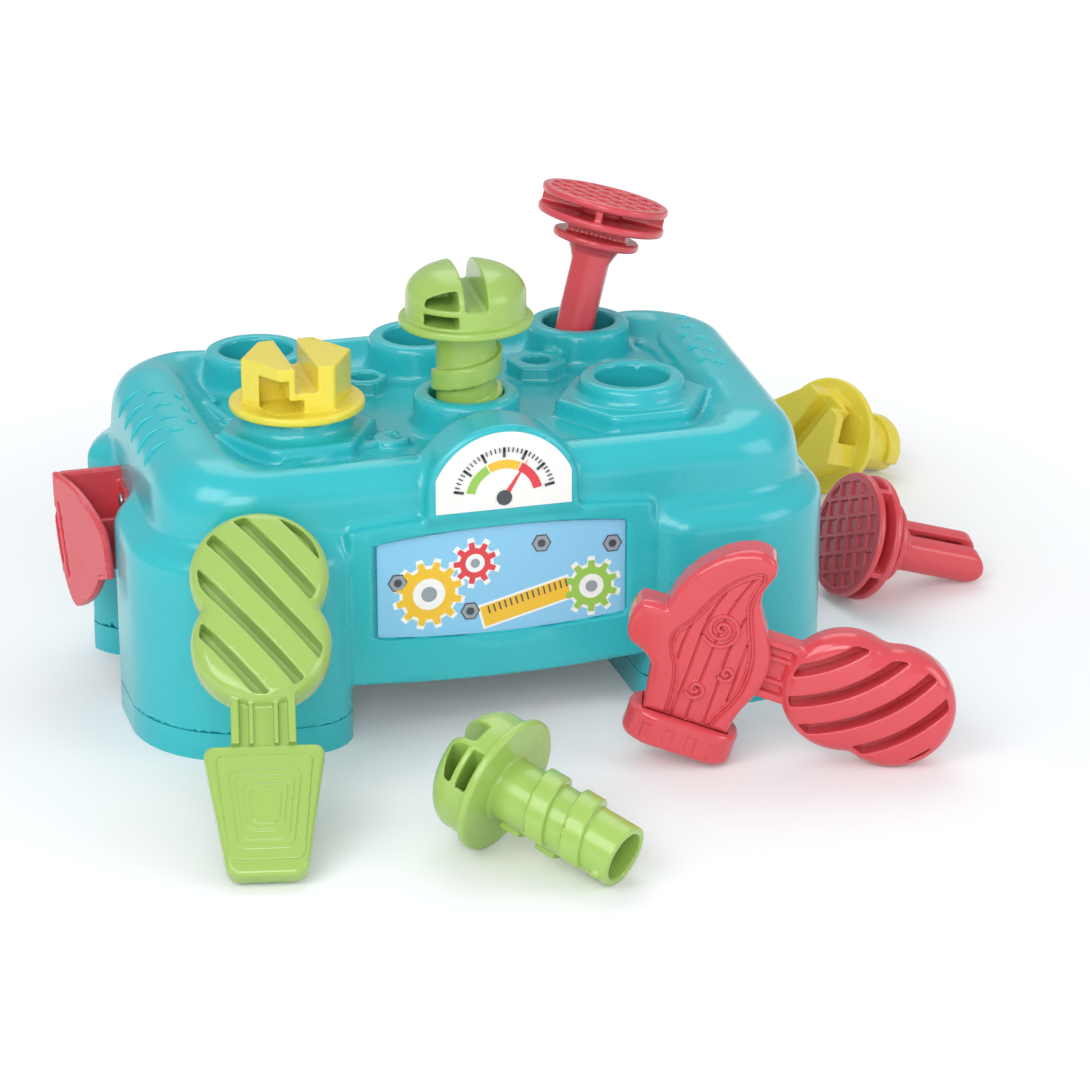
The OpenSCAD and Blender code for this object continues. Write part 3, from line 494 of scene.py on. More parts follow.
screw_green = moulded_plastic("polypropylene_leaf_green_moulded", "#A0C25F")
bolt_yellow = moulded_plastic("polypropylene_yellow_moulded", "#EAD744")
for name, shape, length, head_h, place, body, node, finish, slot in (
        ("screw_in_hole", screw_shape, screw_len, 26,
         shifted(*holes[1], ring_top + 29.5) @ about("Z", -4), "raised_screw",
         "screw_raised", screw_green, "green_plastic"),
        ("screw_on_ground", screw_shape, screw_len, 26,
         laid(flange_r, shaft_r, screw_len - 1, 0, (-31, -196), -51, 67), "free_screw",
         "screw_loose", screw_green, "green_plastic"),
        ("bolt_in_hole", bolt_shape, bolt_len, 23,
         shifted(*holes[0], ring_top), "seated_bolt",
         "bolt_seated", bolt_yellow, "yellow_plastic"),
        ("bolt_on_ground", bolt_shape, bolt_len, 23,
         laid(flange_r, shaft_r, bolt_len - 1, 0, (225, 147), 30, 62), "free_bolt",
         "bolt_loose", bolt_yellow, "yellow_plastic")):
    piece = moulded(name, shape, (-flange_r, -flange_r, -length), (flange_r, flange_r, head_h),
                    0.75, place)
    piece.data.materials.append(finish)
    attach(piece, body)
    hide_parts(node)

# ------------------------------------------------------------------ nails
# Each nail is one moulding: a head of two discs on crossed webs, a waffled face that the
# hammer strikes, a collar, and two springy prongs with a slit between them.
nail_len, stem_r, prong_half, slit_half = 48, 12, 8.15, 2.5
disc_z, struck_face, pit = 9.1, 21.3, 8.2


def nail_shape(x, y, z):
    r = np.hypot(x, y)
    half = prong_half + 3.85 * np.clip((z + 7.5) / 7.5, 0, 1)
    tip = z + nail_len - prong_half
    wide = np.where(tip < 0, np.hypot(x, tip) - prong_half, abs(x) - half)
    stem = r - stem_r - 2 * np.clip((z + 4) / 4, 0, 1)
    shaft = edge_round(edge_round(wide, stem, 1.8), z - 1, 0.2)
    shaft = soft_cut(shaft, both(abs(y) - slit_half, z + 8.6), 1)
    trough = edge_round(plan_box(x, y, 10.3, 18, 2), abs(z + 27.2) - 12.6, 1.5)
    shaft = soft_cut(shaft, trough, 0.8)
    # collar, ribbed block, the lower disc and the webs that carry the struck disc
    body = soft_union(shaft, disc(x, y, z, 19, 0, flange_t, 1.2), 1.2)
    ribs = 0.5 * np.clip(np.cos(x * 2 * pi / 4.2) * 2, -1, 1)
    neck = plan_box(x, y, 25, 15.6, 1) - 0.25 + ribs * -0.4 * (abs(y) > 5)
    body = soft_union(body, both(neck, abs(z - 6.3) - 3.6), 0.8)
    body = soft_union(body, disc(x, y, z, flange_r, disc_z, disc_z + flange_t, 1.3), 0.8)
    webs = either(abs(x), abs(y)) - 1.5
    webs = both(either(webs, r - 9), r - 27)
    body = soft_union(body, both(webs, abs(z - 15.2) - 3), 1.2)
    # square pits, set at 45 degrees, in the face that the hammer strikes
    top = disc(x, y, z, flange_r, struck_face - flange_t, struck_face, 1.4)
    u, v = (abs((w / sqrt(2) + 200 * pit) % pit - pit / 2) - 3.1 for w in (x - y, x + y))
    pits = edge_round(both(edge_round(u, v, 0.3), r - 24.3), struck_face - 1.1 - z, 0.2)
    return either(body, soft_cut(top, pits, 0.4))


nail_red = moulded_plastic("polypropylene_coral_red_moulded", "#D84A53")
# the loose nail rests on its lower disc and one prong; the other leans on its hole's edge
roll = -22
low = stem_r * cos(acos(prong_half / stem_r) + radians(roll))
lying = laid(flange_r, low, disc_z + nail_len - 0.7 * prong_half, disc_z, (204, 15), 6.6, roll)
lean, stand_off = 15, 35  # degrees from upright, and collar to ring
side = ((nail_len - stand_off - prong_half / 2) * sin(radians(lean))
        - (hole_r - 0.3 - stem_r))
leaning = (shifted(*holes[5], 0) @ about("Z", 11) @ shifted(side, 0, ring_top) @ about("Y", lean)
           @ shifted(0, 0, stand_off) @ about("Z", -33))
for name, place, body, node in (("nail_in_hole", leaning, "leaning_nail", "nail_raised"),
                                ("nail_on_ground", lying, "free_nail", "nail_loose")):
    piece = moulded(name, nail_shape, (-flange_r, -flange_r, -nail_len),
                    (flange_r, flange_r, struck_face + 0.1), 0.7, place)
    piece.data.materials.append(nail_red)
    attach(piece, body)
    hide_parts(node)

# ------------------------------------------------------------------ hammer
# The head is one thick moulding with a sunk panel in each face, carved to look like a board:
# grain lines and three curls. A separate cap closes its striking end, and the handle's flat
# ribbed neck is pushed into its side. Sizes are millimetres, drawn flat.
def smooth_edge(start, *spans, steps=8):
    """Points along smooth spans, each given by its two handles and its end, which is left to
    the span that follows."""
    points = []
    t = np.arange(steps)[:, None] / steps
    for span in spans:
        a, b, c, d = (np.array(p, float) for p in (start,) + span)
        points += ((1 - t) ** 3 * a + 3 * (1 - t) ** 2 * t * b + 3 * (1 - t) * t * t * c
                   + t ** 3 * d).tolist()
        start = span[2]
    return points


def outline_field(points, step=0.3, reach=9):
    """Distance to a closed outline, looked up from a fine grid: below zero inside it."""
    points = np.array(points, float)
    low = points.min(0) - reach
    count = np.ceil((points.max(0) + reach - low) / step).astype(int) + 2
    gx, gy = np.meshgrid(low[0] + step * np.arange(count[0]), low[1] + step * np.arange(count[1]),
                         indexing="ij")
    best = np.full(gx.shape, 1e9)
    inside = np.zeros(gx.shape, bool)
    for (ax, ay), (bx, by) in zip(points, np.roll(points, -1, 0)):
        ex, ey = bx - ax, by - ay
        t = np.clip(((gx - ax) * ex + (gy - ay) * ey) / max(ex * ex + ey * ey, 1e-9), 0, 1)
        best = either(best, np.hypot(gx - ax - t * ex, gy - ay - t * ey))
        cross = ((ay > gy) != (by > gy)) & (gx < ex * (gy - ay) / (ey if ey else 1e-9) + ax)
        inside ^= cross
    field = np.where(inside, -best, best).astype(np.float32)

    def look(x, y):
        u = np.clip((x - low[0]) / step, 0, count[0] - 1.001)
        v = np.clip((y - low[1]) / step, 0, count[1] - 1.001)
        i, j = u.astype(int), v.astype(int)
        fu, fv = u - i, v - j
        return ((field[i, j] * (1 - fu) + field[i + 1, j] * fu) * (1 - fv)
                + (field[i, j + 1] * (1 - fu) + field[i + 1, j + 1] * fu) * fv)

    return look


head_half, neck_x, neck_y, neck_half, web_half = 8.5, 8, 45, 12.5, 2.75
head_edge = outline_field([(-18, 13), (18, 13)] + smooth_edge(
    (18, 13), ((18, 28), (26, 32), (25, 45)), ((24, 60), (7, 68), (12.5, 80)),
    ((16, 86), (13, 92), (6, 92)), ((-5, 92), (-22, 76), (-23, 58)),
    ((-25, 58), (-31, 58), (-33, 57)), ((-36, 52), (-36, 42), (-32, 39)),
    ((-28, 37), (-20, 36), (-20, 28)), ((-20, 24), (-18, 20), (-18, 13))))
board_edge = outline_field(smooth_edge(
    (-9.3, 10), ((-9.3, 20), (-10, 30), (-13, 36)), ((-16, 40), (-19, 46), (-16, 51)),
    ((-12, 55), (-11, 60), (-8, 66)), ((-5, 73), (0, 80), (7, 83.5)),
    ((12, 86), (11, 80), (9.5, 74)), ((8.5, 68), (12, 62), (15, 54.5)),
    ((18.5, 47), (19, 38), (17, 30)), ((14.5, 22), (10.5, 18), (10.1, 10))))


def curl(x, y, place, r, turns, begin, thick):
    """A curled bead: distance to a spiral that winds out from its centre."""
    u, v = x - place[0], y - place[1]
    rho = np.hypot(u, v)
    swing = (begin - np.degrees(np.arctan2(v, u))) % 360 / 360
    pitch = r / turns
    ring = np.round(rho / pitch - swing)
    ring = np.clip(ring, 0, np.where(swing > turns % 1, int(turns) - 1, int(turns)))
    return abs(rho - (ring + swing) * pitch) - thick


def head_shape(x, y, z):
    plan = head_edge(x, y)
    deep = abs(z) - head_half
    body = edge_round(plan, deep, 3)
    board = board_edge(x, y)
    body = soft_cut(body, both(board, -deep - 1.6), 1)
    bead = abs(board + 1.8) - 0.5
    body = soft_union(body, both(both(bead, 15 - y), abs(deep + 1.6) - 0.6), 0.6)
    inner = board + 2.6
    lean = x - 0.0032 * (y - 18) ** 2 + 0.1 * (y - 45)
    for grain in (-13.5, -8.5, -2.5, 4.5, 10.5, 15.5):
        line = abs(lean - grain - 0.8 * np.sin(y / 9 + grain)) - 0.35
        line = both(both(line, inner), -deep - 2.3)
        body = soft_cut(body, line, 0.4)
    for place, r, turns, begin in (((1, 56), 8, 2.4, 359), ((9, 38.5), 3.6, 1.5, 35),
                                   ((-0.5, 28), 4.2, 1.6, 66)):
        bead = curl(x, y, place, r, turns, begin, 0.75)
        bead = both(both(bead, inner), abs(deep + 1.2) - 0.9)
        body = soft_union(body, bead, 0.5)
    socket = both(both(slab(x, neck_x, 24), abs(y - neck_y) - neck_half), abs(z) - 5.5)
    return both(body, -socket)


cap_w, cap_d, cap_h, flute_pitch = 46, 26, 14, 9.5


def cap_shape(x, y, z):
    plan = plan_box(x, z, cap_w, cap_d, 12)
    body = edge_round(plan, slab(y, 0, cap_h), 2.6)
    flute = abs((x + 30 * flute_pitch) % flute_pitch - flute_pitch / 2) - 1.8
    flute = both(both(flute, -(plan + 0.35)), both(abs(y - 6) - 3.4, abs(x) - 20))
    body = soft_cut(body, flute, 0.4)
    seat = both(both(abs(x) - 18.15, abs(z) - head_half), 10 - y)
    return both(body, -seat)


lobe_half, lobe_rim = 11, 7  # half thickness of a lobe's middle, and the round of its rim


def handle_shape(x, y, z, neck, r, step, turn, bow):
    """A ribbed neck and two domed lobes, with slanted slots cut into both faces of the lobes."""
    body = np.full_like(x, far)
    plan = np.full_like(x, far)
    for centre in (0, step):
        rho = np.hypot(x - centre, y)
        plan = either(plan, rho - r)
        thick = lobe_half - 3.6 * np.clip(rho / r, 0, 1.2) ** 2
        body = soft_union(body, edge_round(rho - r, abs(z) - thick, 5), 2.5)
    body = soft_union(body, neck, 1.2)
    pitch = 14.5 * r / 27.5
    c, s = cos(radians(turn)), sin(radians(turn))
    middle = step / 2 + 6
    across = c * y - s * (x - middle)
    along = c * (x - middle) + s * y
    across = across + bow * along * along
    near = (across + 2.5 * pitch) % pitch - pitch / 2
    slot = both(abs(near) - 2.4, abs(across) - 2.5 * pitch)
    slot = edge_round(slot, plan + 3.4, 0.8)
    return soft_cut(body, both(slot, 1.5 - abs(z)), 0.9)


def neck_shape(x, y, z, length, bare):
    """A flat neck with four ribs, which start where the part it is pushed into ends."""
    web = both(abs(y) - neck_half, abs(z) - web_half)
    thick = both(abs(abs(y) - 11) - 1.5, abs(z) - 5.5)
    thin = both(abs(abs(y) - 4.8) - 0.9, abs(z) - 5)
    ribs = both(either(thick, thin), bare - x)
    return both(soft_union(web, ribs, 0.8), slab(x, 0, length))


hammer_grip, hammer_step, hammer_reach = 25.5, 21, 56.5


def hammer_handle_shape(x, y, z):
    neck = neck_shape(x - neck_x, y, z, 36, 0)
    return handle_shape(x - hammer_reach, y, z, neck, hammer_grip, hammer_step, 46, -0.006)


# the hammer lies on one end of its cap and the far lobe of its grip
run = hammer_reach + hammer_step - cap_w / 2
droop = degrees(atan2(neck_y, run)) - degrees(asin(hammer_grip / hypot(run, neck_y)))
hammer_place = (shifted(57, -132, cap_w / 2 * sin(radians(droop))) @ about("Z", -19)
                @ about("Y", droop) @ about("X", 90))
hammer_red = moulded_plastic("abs_coral_red_polished", "#D84A53", gloss=0.14)
for name, shape, low, high, cell, place, node in (
        ("hammer_head_board", head_shape, (-37, 12, -9), (27, 92.5, 9), 0.5,
         hammer_place, "hammer_head"),
        ("hammer_striking_cap", cap_shape, (-cap_w / 2, 0, -cap_d / 2),
         (cap_w / 2, cap_h, cap_d / 2), 0.6, hammer_place,
         "hammer_cap"),
        ("hammer_grip", hammer_handle_shape, (neck_x, -26, -11), (104, 26, 11), 0.6,
         hammer_place @ shifted(0, neck_y, 0), "hammer_handle")):
    piece = moulded(name, shape, low, high, cell, place)
    piece.data.materials.append(hammer_red)
    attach(piece, "hammer")
    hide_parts(node)

# ------------------------------------------------------------------ scraper-driver
# A flat blade with stepped frames moulded into its face, which turns the screws and bolts,
# and the same kind of two-lobed grip as the hammer's, in lime green.
blade_len, blade_half, tip_half, top_half, tongue = 55.5, 4.5, 15, 24, 8
driver_neck, driver_grip, driver_step = 17, 27.5, 31


def wedge(x, y, tip, top, low, high, corner):
    """Round-cornered trapezoid on the Y axis, of half width tip at low and top at high."""
    slope = (top - tip) / (high - low)
    sides = (abs(x) - tip - slope * (y - low)) / hypot(1, slope)
    return edge_round(sides, slab(y, low, high), corner)


def blade_shape(x, y, z):
    plan = wedge(x, y, tip_half, top_half, 0, blade_len, 5)
    body = edge_round(plan, abs(z) - blade_half, 2.4)
    for top, tip, high, low, rise in ((18.6, 14.2, 50.4, 6.2, 0.7), (14.1, 10.4, 43.7, 11, 1.2),
                                      (11.5, 8.6, 41.1, 13.9, 1.6), (8.8, 6.6, 37.8, 18, 2),
                                      (6.4, 4.8, 34.7, 20.4, 2.4)):
        frame_plan = wedge(x, y, tip, top, low, high, 3)
        body = soft_union(body, edge_round(frame_plan, abs(z) - blade_half - rise, 0.3), 0.4)
    socket = both(both(abs(x) - neck_half, blade_len - tongue - y), abs(z) - web_half)
    return both(body, -socket)


def driver_handle_shape(x, y, z):
    neck = neck_shape(x, y, z, 38, tongue)
    middle = tongue + driver_neck + driver_grip
    return handle_shape(x - middle, y, z, neck, driver_grip, driver_step, 39, 0)


# the driver stands on the edge of its blade's tip and leans against the front left leg
driver_turn, driver_lean = -11.8, 51.3
s, c = sin(radians(driver_lean)), cos(radians(driver_lean))
st, ct = sin(radians(driver_turn)), cos(radians(driver_turn))
toward = (st, ct * s, ct * c)
driver_length = blade_len + driver_neck + 2 * driver_grip + driver_step
reach = (toward[1] * (driver_length - driver_grip) + lobe_rim
         + (driver_grip - lobe_rim) * hypot(toward[0], toward[1])
         + (lobe_half - lobe_rim) * toward[2])
driver_place = (shifted(-127, -76 - 0.3 - reach, blade_half * s) @ about("Z", driver_turn)
                @ about("X", 90 - driver_lean))
driver_lime = moulded_plastic("abs_lime_polished", "#A0BF60", gloss=0.14)
for name, shape, low, high, cell, place, node in (
        ("driver_blade_stepped", blade_shape, (-25, -1, -5), (25, 56, 8), 0.45, driver_place,
         "driver_blade"),
        ("driver_grip", driver_handle_shape, (0, -28, -11), (112, 28, 11), 0.6,
         driver_place @ shifted(0, blade_len - tongue, 0) @ about("Z", 90), "driver_handle")):
    piece = moulded(name, shape, low, high, cell, place)
    piece.data.materials.append(driver_lime)
    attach(piece, "driver")
    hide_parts(node)

# ------------------------------------------------------------------ holder on the left side
# A pocket of thin moulded walls, held to the side panel by two small screws: a pad, a back
# wall, and an outer leaf with two long grooves.
leaf_x, leaf_y, leaf_z, leaf_w, leaf_drop, holder_t = -163.5, 30, 90, 50, 55, 3
panel_x = -135.5
leaf_tip, corner = (17.5, -leaf_drop), (leaf_w, -31.9)
leaf_edge = outline_field(
    smooth_edge((0, 0), ((20, 1), (34, -4.4), (44, -12.1)), ((47.5, -15.4), (48.5, -23.1), corner))
    + [corner] + smooth_edge((41.5, -35.2), ((38, -41.8), (30, -51), leaf_tip),
                             ((10, -55), (1.5, -34), (0, -14.9))))


def holder_shape(x, y, z):
    pad = edge_round(edge_round(slab(y, 6, leaf_y), slab(z, 50, 84), 2),
                     slab(x, -138.5, panel_x), 0.6)
    back_wall = edge_round(edge_round(slab(x, leaf_x, panel_x), slab(z, 44, leaf_z), 2),
                           slab(y, leaf_y - holder_t, leaf_y), 0.6)
    neck = edge_round(edge_round(slab(x, -155.1, panel_x), slab(z, 59, 75), 1),
                      slab(y, 6, 6 + holder_t), 0.6)
    s = 14.7 / leaf_w
    c = sqrt(1 - s * s)
    u, v = c * (x - leaf_x) + s * (y - leaf_y), c * (y - leaf_y) - s * (x - leaf_x)
    plan = leaf_edge(-v, z - leaf_z)
    leaf = edge_round(plan, slab(u, -holder_t, 0), 1.1)
    lip = both(abs(plan + 1.2) - 0.9, abs(u + 2.6) - 1.2)
    leaf = soft_union(leaf, both(lip, v + 24), 0.8)
    for top, foot in (((5, -12.5), (12, -42.5)), ((1.6, -16), (7, -38))):
        groove = capsule(-v, z - leaf_z, 0 * z, top + (0,), foot + (0,), 0.8)
        leaf = soft_cut(leaf, both(groove, u + 1.4), 0.5)
    body = soft_union(soft_union(back_wall, leaf, 1.5), pad, 1.5)
    return soft_union(body, neck, 1.5)


holder = moulded("holder_pocket", holder_shape, (-168, -20, 33), (panel_x, 31, 91), 0.6)
holder.data.materials.append(nail_red)
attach(holder, "bench")
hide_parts("tool_holder")

# ------------------------------------------------------------------ scale ridges on the rolls
# The two side rolls carry rows of curved ridges, cut into the mould like a file's teeth, for
# small fingers to feel. They are the same plastic as the shell and part of its moulding.
def node_inputs(tree, sockets):
    """The named inputs of a geometry tree, and its output; returns the inputs' sockets."""
    for name, kind, value in sockets:
        made = tree.interface.new_socket(name=name, in_out="INPUT",
                                         socket_type="NodeSocket" + kind)
        made.default_value = value
    tree.interface.new_socket(name="Geometry", in_out="OUTPUT", socket_type="NodeSocketGeometry")
    return tree.nodes.new("NodeGroupInput").outputs


def made_real(tree, placed, given):
    """The instances turned into one painted mesh, which the tree gives out."""
    real = add_node(tree, "GeometryNodeRealizeInstances", links={0: placed})
    painted = add_node(tree, "GeometryNodeSetMaterial",
                       links={"Geometry": real, "Material": given["Finish"]})
    add_node(tree, "NodeGroupOutput", links={0: painted})


def grown(name, tree, values, finish):
    """A plain mesh grown by a geometry tree, its inputs set by their identifiers."""
    blank = bpy.data.meshes.new(name)
    host = shown(name + "_host", blank)
    modifier = host.modifiers.new("grow", "NODES")
    modifier.node_group = tree
    for item in tree.interface.items_tree:
        if item.in_out == "INPUT" and item.name in values:
            modifier[item.identifier] = values[item.name]
        elif item.in_out == "INPUT" and item.name == "Finish":
            modifier[item.identifier] = finish
    bpy.context.view_layer.update()
    ready = host.evaluated_get(bpy.context.evaluated_depsgraph_get())
    mesh = bpy.data.meshes.new_from_object(ready)
    host.modifiers.remove(modifier)
    bpy.data.objects.remove(host)
    mesh.name = name
    return shown(name, mesh)


ridge_tree = bpy.data.node_groups.new("ridges_along_a_roll", "GeometryNodeTree")
given = node_inputs(ridge_tree, (("Count", "Int", 5), ("Step", "Vector", (0, 0, 0)),
                                 ("Roll radius", "Float", 0.024), ("Start", "Float", 0.0),
                                 ("Sweep", "Float", 1.0), ("Skew", "Float", 0.006),
                                 ("Bow", "Float", 0.002), ("Bead", "Float", 0.0009),
                                 ("Finish", "Material", None)))
row = add_node(ridge_tree, "GeometryNodeMeshLine", {"mode": "OFFSET"},
               {"Count": given["Count"], "Offset": given["Step"]})
arc = add_node(ridge_tree, "GeometryNodeCurveArc", {"mode": "RADIUS", "Resolution": 24},
               {"Radius": given["Roll radius"], "Start Angle": given["Start"],
                "Sweep Angle": given["Sweep"]})
stood = add_node(ridge_tree, "GeometryNodeTransform", {"Rotation": (pi / 2, 0, 0)},
                 {"Geometry": arc.outputs["Curve"]})
along = add_node(ridge_tree, "GeometryNodeSplineParameter")
centred = add_node(ridge_tree, "ShaderNodeMath", {"operation": "SUBTRACT", 1: 0.5},
                   {0: along.outputs["Factor"]})
skewed = add_node(ridge_tree, "ShaderNodeMath", {"operation": "MULTIPLY"},
                  {0: centred, 1: given["Skew"]})
ramp = add_node(ridge_tree, "ShaderNodeMath", {"operation": "MULTIPLY", 1: pi},
                {0: along.outputs["Factor"]})
swell = add_node(ridge_tree, "ShaderNodeMath", {"operation": "SINE"}, {0: ramp})
bowed = add_node(ridge_tree, "ShaderNodeMath", {"operation": "MULTIPLY_ADD"},
                 {0: swell, 1: given["Bow"], 2: skewed})
shift = add_node(ridge_tree, "ShaderNodeCombineXYZ", links={"Y": bowed})
leaned = add_node(ridge_tree, "GeometryNodeSetPosition",
                  links={"Geometry": stood, "Offset": shift})
taper = add_node(ridge_tree, "ShaderNodeMath", {"operation": "MULTIPLY_ADD", 1: 0.8, 2: 0.2},
                 {0: swell})
profile = add_node(ridge_tree, "GeometryNodeCurvePrimitiveCircle", {"Resolution": 10},
                   {"Radius": given["Bead"]})
bead = add_node(ridge_tree, "GeometryNodeCurveToMesh", {"Fill Caps": True},
                {"Curve": leaned, "Profile Curve": profile.outputs["Curve"],
                 "Scale": taper})
smooth = add_node(ridge_tree, "GeometryNodeSetShadeSmooth", links={0: bead})
placed = add_node(ridge_tree, "GeometryNodeInstanceOnPoints",
                  links={"Points": row, "Instance": smooth})
made_real(ridge_tree, placed, given)


ridge_r = 27  # the round that the ridges are first bent to, just outside the shell


def settle(piece, shape, middle_x):
    """Moves ridges bent to a round roll onto the shell's true face, keeping their height."""
    mesh = piece.data
    points = np.empty(len(mesh.vertices) * 3, np.float32)
    mesh.vertices.foreach_get("co", points)
    points = points.reshape(-1, 3) / MM
    lift = np.hypot(points[:, 0] - middle_x, points[:, 2] - roll_z(points[:, 1])) - ridge_r
    for _ in range(6):
        steps = np.eye(3, dtype=np.float32) * 0.3
        slope = np.stack([shape(*(points + d).T) - shape(*(points - d).T) for d in steps], 1) / 0.6
        slope /= np.maximum((slope * slope).sum(1, keepdims=True), 0.2)
        points -= slope * (shape(*points.T) - lift)[:, None]
    mesh.vertices.foreach_set("co", (points * MM).ravel())
    mesh.update()


for name, side, first_y, count, gap, start, sweep, skew, bow in (
        ("ridges_left_outer", -1, -24, 5, 13.3, 123, 30, 2, 1),
        ("ridges_left_inner", -1, -18.5, 4, 13, 105, 15, 0.5, 2.2),
        ("ridges_left_ticks", -1, -13, 3, 13, 92, 7, 4, 1),
        ("ridges_right_outer", 1, -3, 5, 13.2, 69, 14, 2, 2.5),
        ("ridges_right_inner", 1, 1, 3, 13.8, 84, 13, 0, 1.5)):
    climb = roll_z(first_y + gap) - roll_z(first_y)
    piece = grown(name, ridge_tree,
                  {"Count": count, "Step": (0, gap * MM, climb * MM),
                   "Roll radius": ridge_r * MM, "Start": radians(start),
                   "Sweep": radians(sweep), "Skew": skew * MM, "Bow": bow * MM,
                   "Bead": 1.3 * MM}, teal)
    piece.data.transform(shifted(side * roll_x, first_y, roll_z(first_y)))
    settle(piece, bench_shape, side * roll_x)
    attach(piece, "bench")

# ------------------------------------------------------------------ printed labels
# Two thin vinyl labels stuck into their recesses. The window's shows gears, nuts and a rule;
# the badge's is a dial with ticks and a needle. The inks are printed flat, so each is a skin a
# tenth of a millimetre proud, with the vinyl's soft sheen.
def printed_ink(name, colour):
    """Ink under a clear satin film: even, with the faintest dot of the printing screen."""
    made, tree = empty_material(name)
    at = add_node(tree, "ShaderNodeTexCoord").outputs["Object"]
    # the screen's dots are 0.7 mm apart, coarser than the real ones, which are too fine to show
    dots = add_node(tree, "ShaderNodeTexVoronoi", {"Scale": 1400.0}, {"Vector": at})
    base = linear(colour)
    tint = add_node(tree, "ShaderNodeMix", {"data_type": "RGBA", 6: tinted(base, 1),
                                            7: tinted(base, 0.93)}, {0: dots})
    # the film's sheen changes over about 17 mm
    film = add_node(tree, "ShaderNodeTexNoise", {"Scale": 60}, {"Vector": at})
    shell = add_node(tree, "ShaderNodeBsdfPrincipled", {"IOR": 1.46},
                     {"Base Color": tint.outputs[2],
                      **rough_and_wave(tree, film, 0.26, 0.38, film, 0.03, 0.0002)})
    add_node(tree, "ShaderNodeOutputMaterial", links={"Surface": shell})
    return made


def ink_skin(name, outlines, plane, layer, finish):
    """Flat closed shapes of ink in front of a label, facing the front."""
    points, faces = [], []
    face, foot = plane - 0.12 * (layer + 1), plane + 0.1
    for outline in outlines:
        count, first = len(outline), len(points)
        points += [(x * MM, face * MM, z * MM) for x, z in outline]
        points += [(x * MM, foot * MM, z * MM) for x, z in outline]
        faces.append(tuple(range(first, first + count)))
        faces.append(tuple(range(first + 2 * count - 1, first + count - 1, -1)))
        faces += [(first + i, first + count + i, first + count + (i + 1) % count,
                   first + (i + 1) % count) for i in range(count)]
    mesh = bpy.data.meshes.new(name)
    mesh.from_pydata(points, [], faces)
    mesh.materials.append(finish)
    piece = shown(name, mesh)
    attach(piece, "bench")
    return piece


def ring_points(cx, cz, r, count=40):
    return [(cx + r * cos(2 * pi * i / count), cz + r * sin(2 * pi * i / count))
            for i in range(count)]


def gear_points(cx, cz, r, teeth, depth):
    outline = []
    for i in range(teeth):
        for share, level in ((0.0, 0), (0.22, 0), (0.32, 1), (0.68, 1), (0.78, 0)):
            a = 2 * pi * (i + share) / teeth
            outline.append((cx + (r + depth * level) * cos(a),
                            cz + (r + depth * level) * sin(a)))
    return outline


def slanted(cx, cz, w, h, turn):
    c, s = cos(radians(turn)), sin(radians(turn))
    return [(cx + c * u - s * v, cz + s * u + c * v)
            for u, v in ((-w / 2, -h / 2), (w / 2, -h / 2), (w / 2, h / 2), (-w / 2, h / 2))]


sky = printed_ink("vinyl_label_light_blue_print", "#8FCDF0")
white_ink = printed_ink("vinyl_label_white_print", "#F7F7F4")
sun_ink = printed_ink("vinyl_label_yellow_print", "#F6C53A")
steel_ink = printed_ink("vinyl_label_grey_print", "#9AA3AC")
dark_ink = printed_ink("vinyl_label_dark_grey_print", "#4A5058")
leaf_ink = printed_ink("vinyl_label_green_print", "#9CCB5A")
coral_ink = printed_ink("vinyl_label_red_print", "#E2474F")
for node, finish in (("window_label", sky), ("badge_label", white_ink)):
    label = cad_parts[node]
    label.data.materials.clear()
    label.data.materials.append(finish)

window_front, badge_front, halo, dial_z = -78.1, -81.6, 1.4, 101
big_gear, mid_gear, small_gear = (-31, 61, 11), (-11.5, 72.5, 6.5), (38, 57, 8.5)
for name, gears, layer in (("label_gears_halo", ((big_gear, 12), (small_gear, 10)), 0),
                           ("label_gear_mid_halo", ((mid_gear, 9),), 0.3)):
    ink_skin(name, [gear_points(x, z, r + halo, teeth, 3.2) for (x, z, r), teeth in gears],
             window_front, layer, white_ink)
for name, gear, teeth, depth, layer, ink in (("label_gear_big", big_gear, 12, 3, 1, sun_ink),
                                             ("label_gear_mid", mid_gear, 9, 2.6, 1.5, coral_ink),
                                             ("label_gear_small", small_gear, 10, 2.8, 1.5,
                                              leaf_ink)):
    ink_skin(name, [gear_points(*gear, teeth, depth)], window_front, layer, ink)
for name, share, layer, ink in (("label_gear_hubs", 0.62, 2, white_ink),
                                ("label_gear_axles", 0.3, 3, steel_ink)):
    ink_skin(name, [ring_points(x, z, r * share) for x, z, r in (big_gear, mid_gear, small_gear)],
             window_front, layer, ink)
for name, w, h, layer, ink in (("label_rule_halo", 40, 11, 0.3, white_ink),
                               ("label_rule", 38, 9, 0.7, sun_ink)):
    ink_skin(name, [slanted(10, 53, w, h, 14)], window_front, layer, ink)

# ticks of the rule and of the dial: one small bar repeated along a row or round an arc
tick_tree = bpy.data.node_groups.new("printed_ticks", "GeometryNodeTree")
given = node_inputs(tick_tree, (("Count", "Int", 9), ("Radius", "Float", 0.018),
                                ("Start", "Float", 0.0), ("Sweep", "Float", pi),
                                ("Bar", "Vector", (0.001, 0.0002, 0.003)),
                                ("Finish", "Material", None)))
arc = add_node(tick_tree, "GeometryNodeCurveArc", {"mode": "RADIUS"},
               {"Resolution": given["Count"], "Radius": given["Radius"],
                "Start Angle": given["Start"], "Sweep Angle": given["Sweep"]})
stood = add_node(tick_tree, "GeometryNodeTransform", {"Rotation": (pi / 2, 0, 0)},
                 {"Geometry": arc.outputs["Curve"]})
bar = add_node(tick_tree, "GeometryNodeMeshCube", links={"Size": given["Bar"]})
spot = add_node(tick_tree, "GeometryNodeInputPosition")
facing = add_node(tick_tree, "FunctionNodeAlignEulerToVector", {"axis": "Z"},
                  {"Vector": spot})
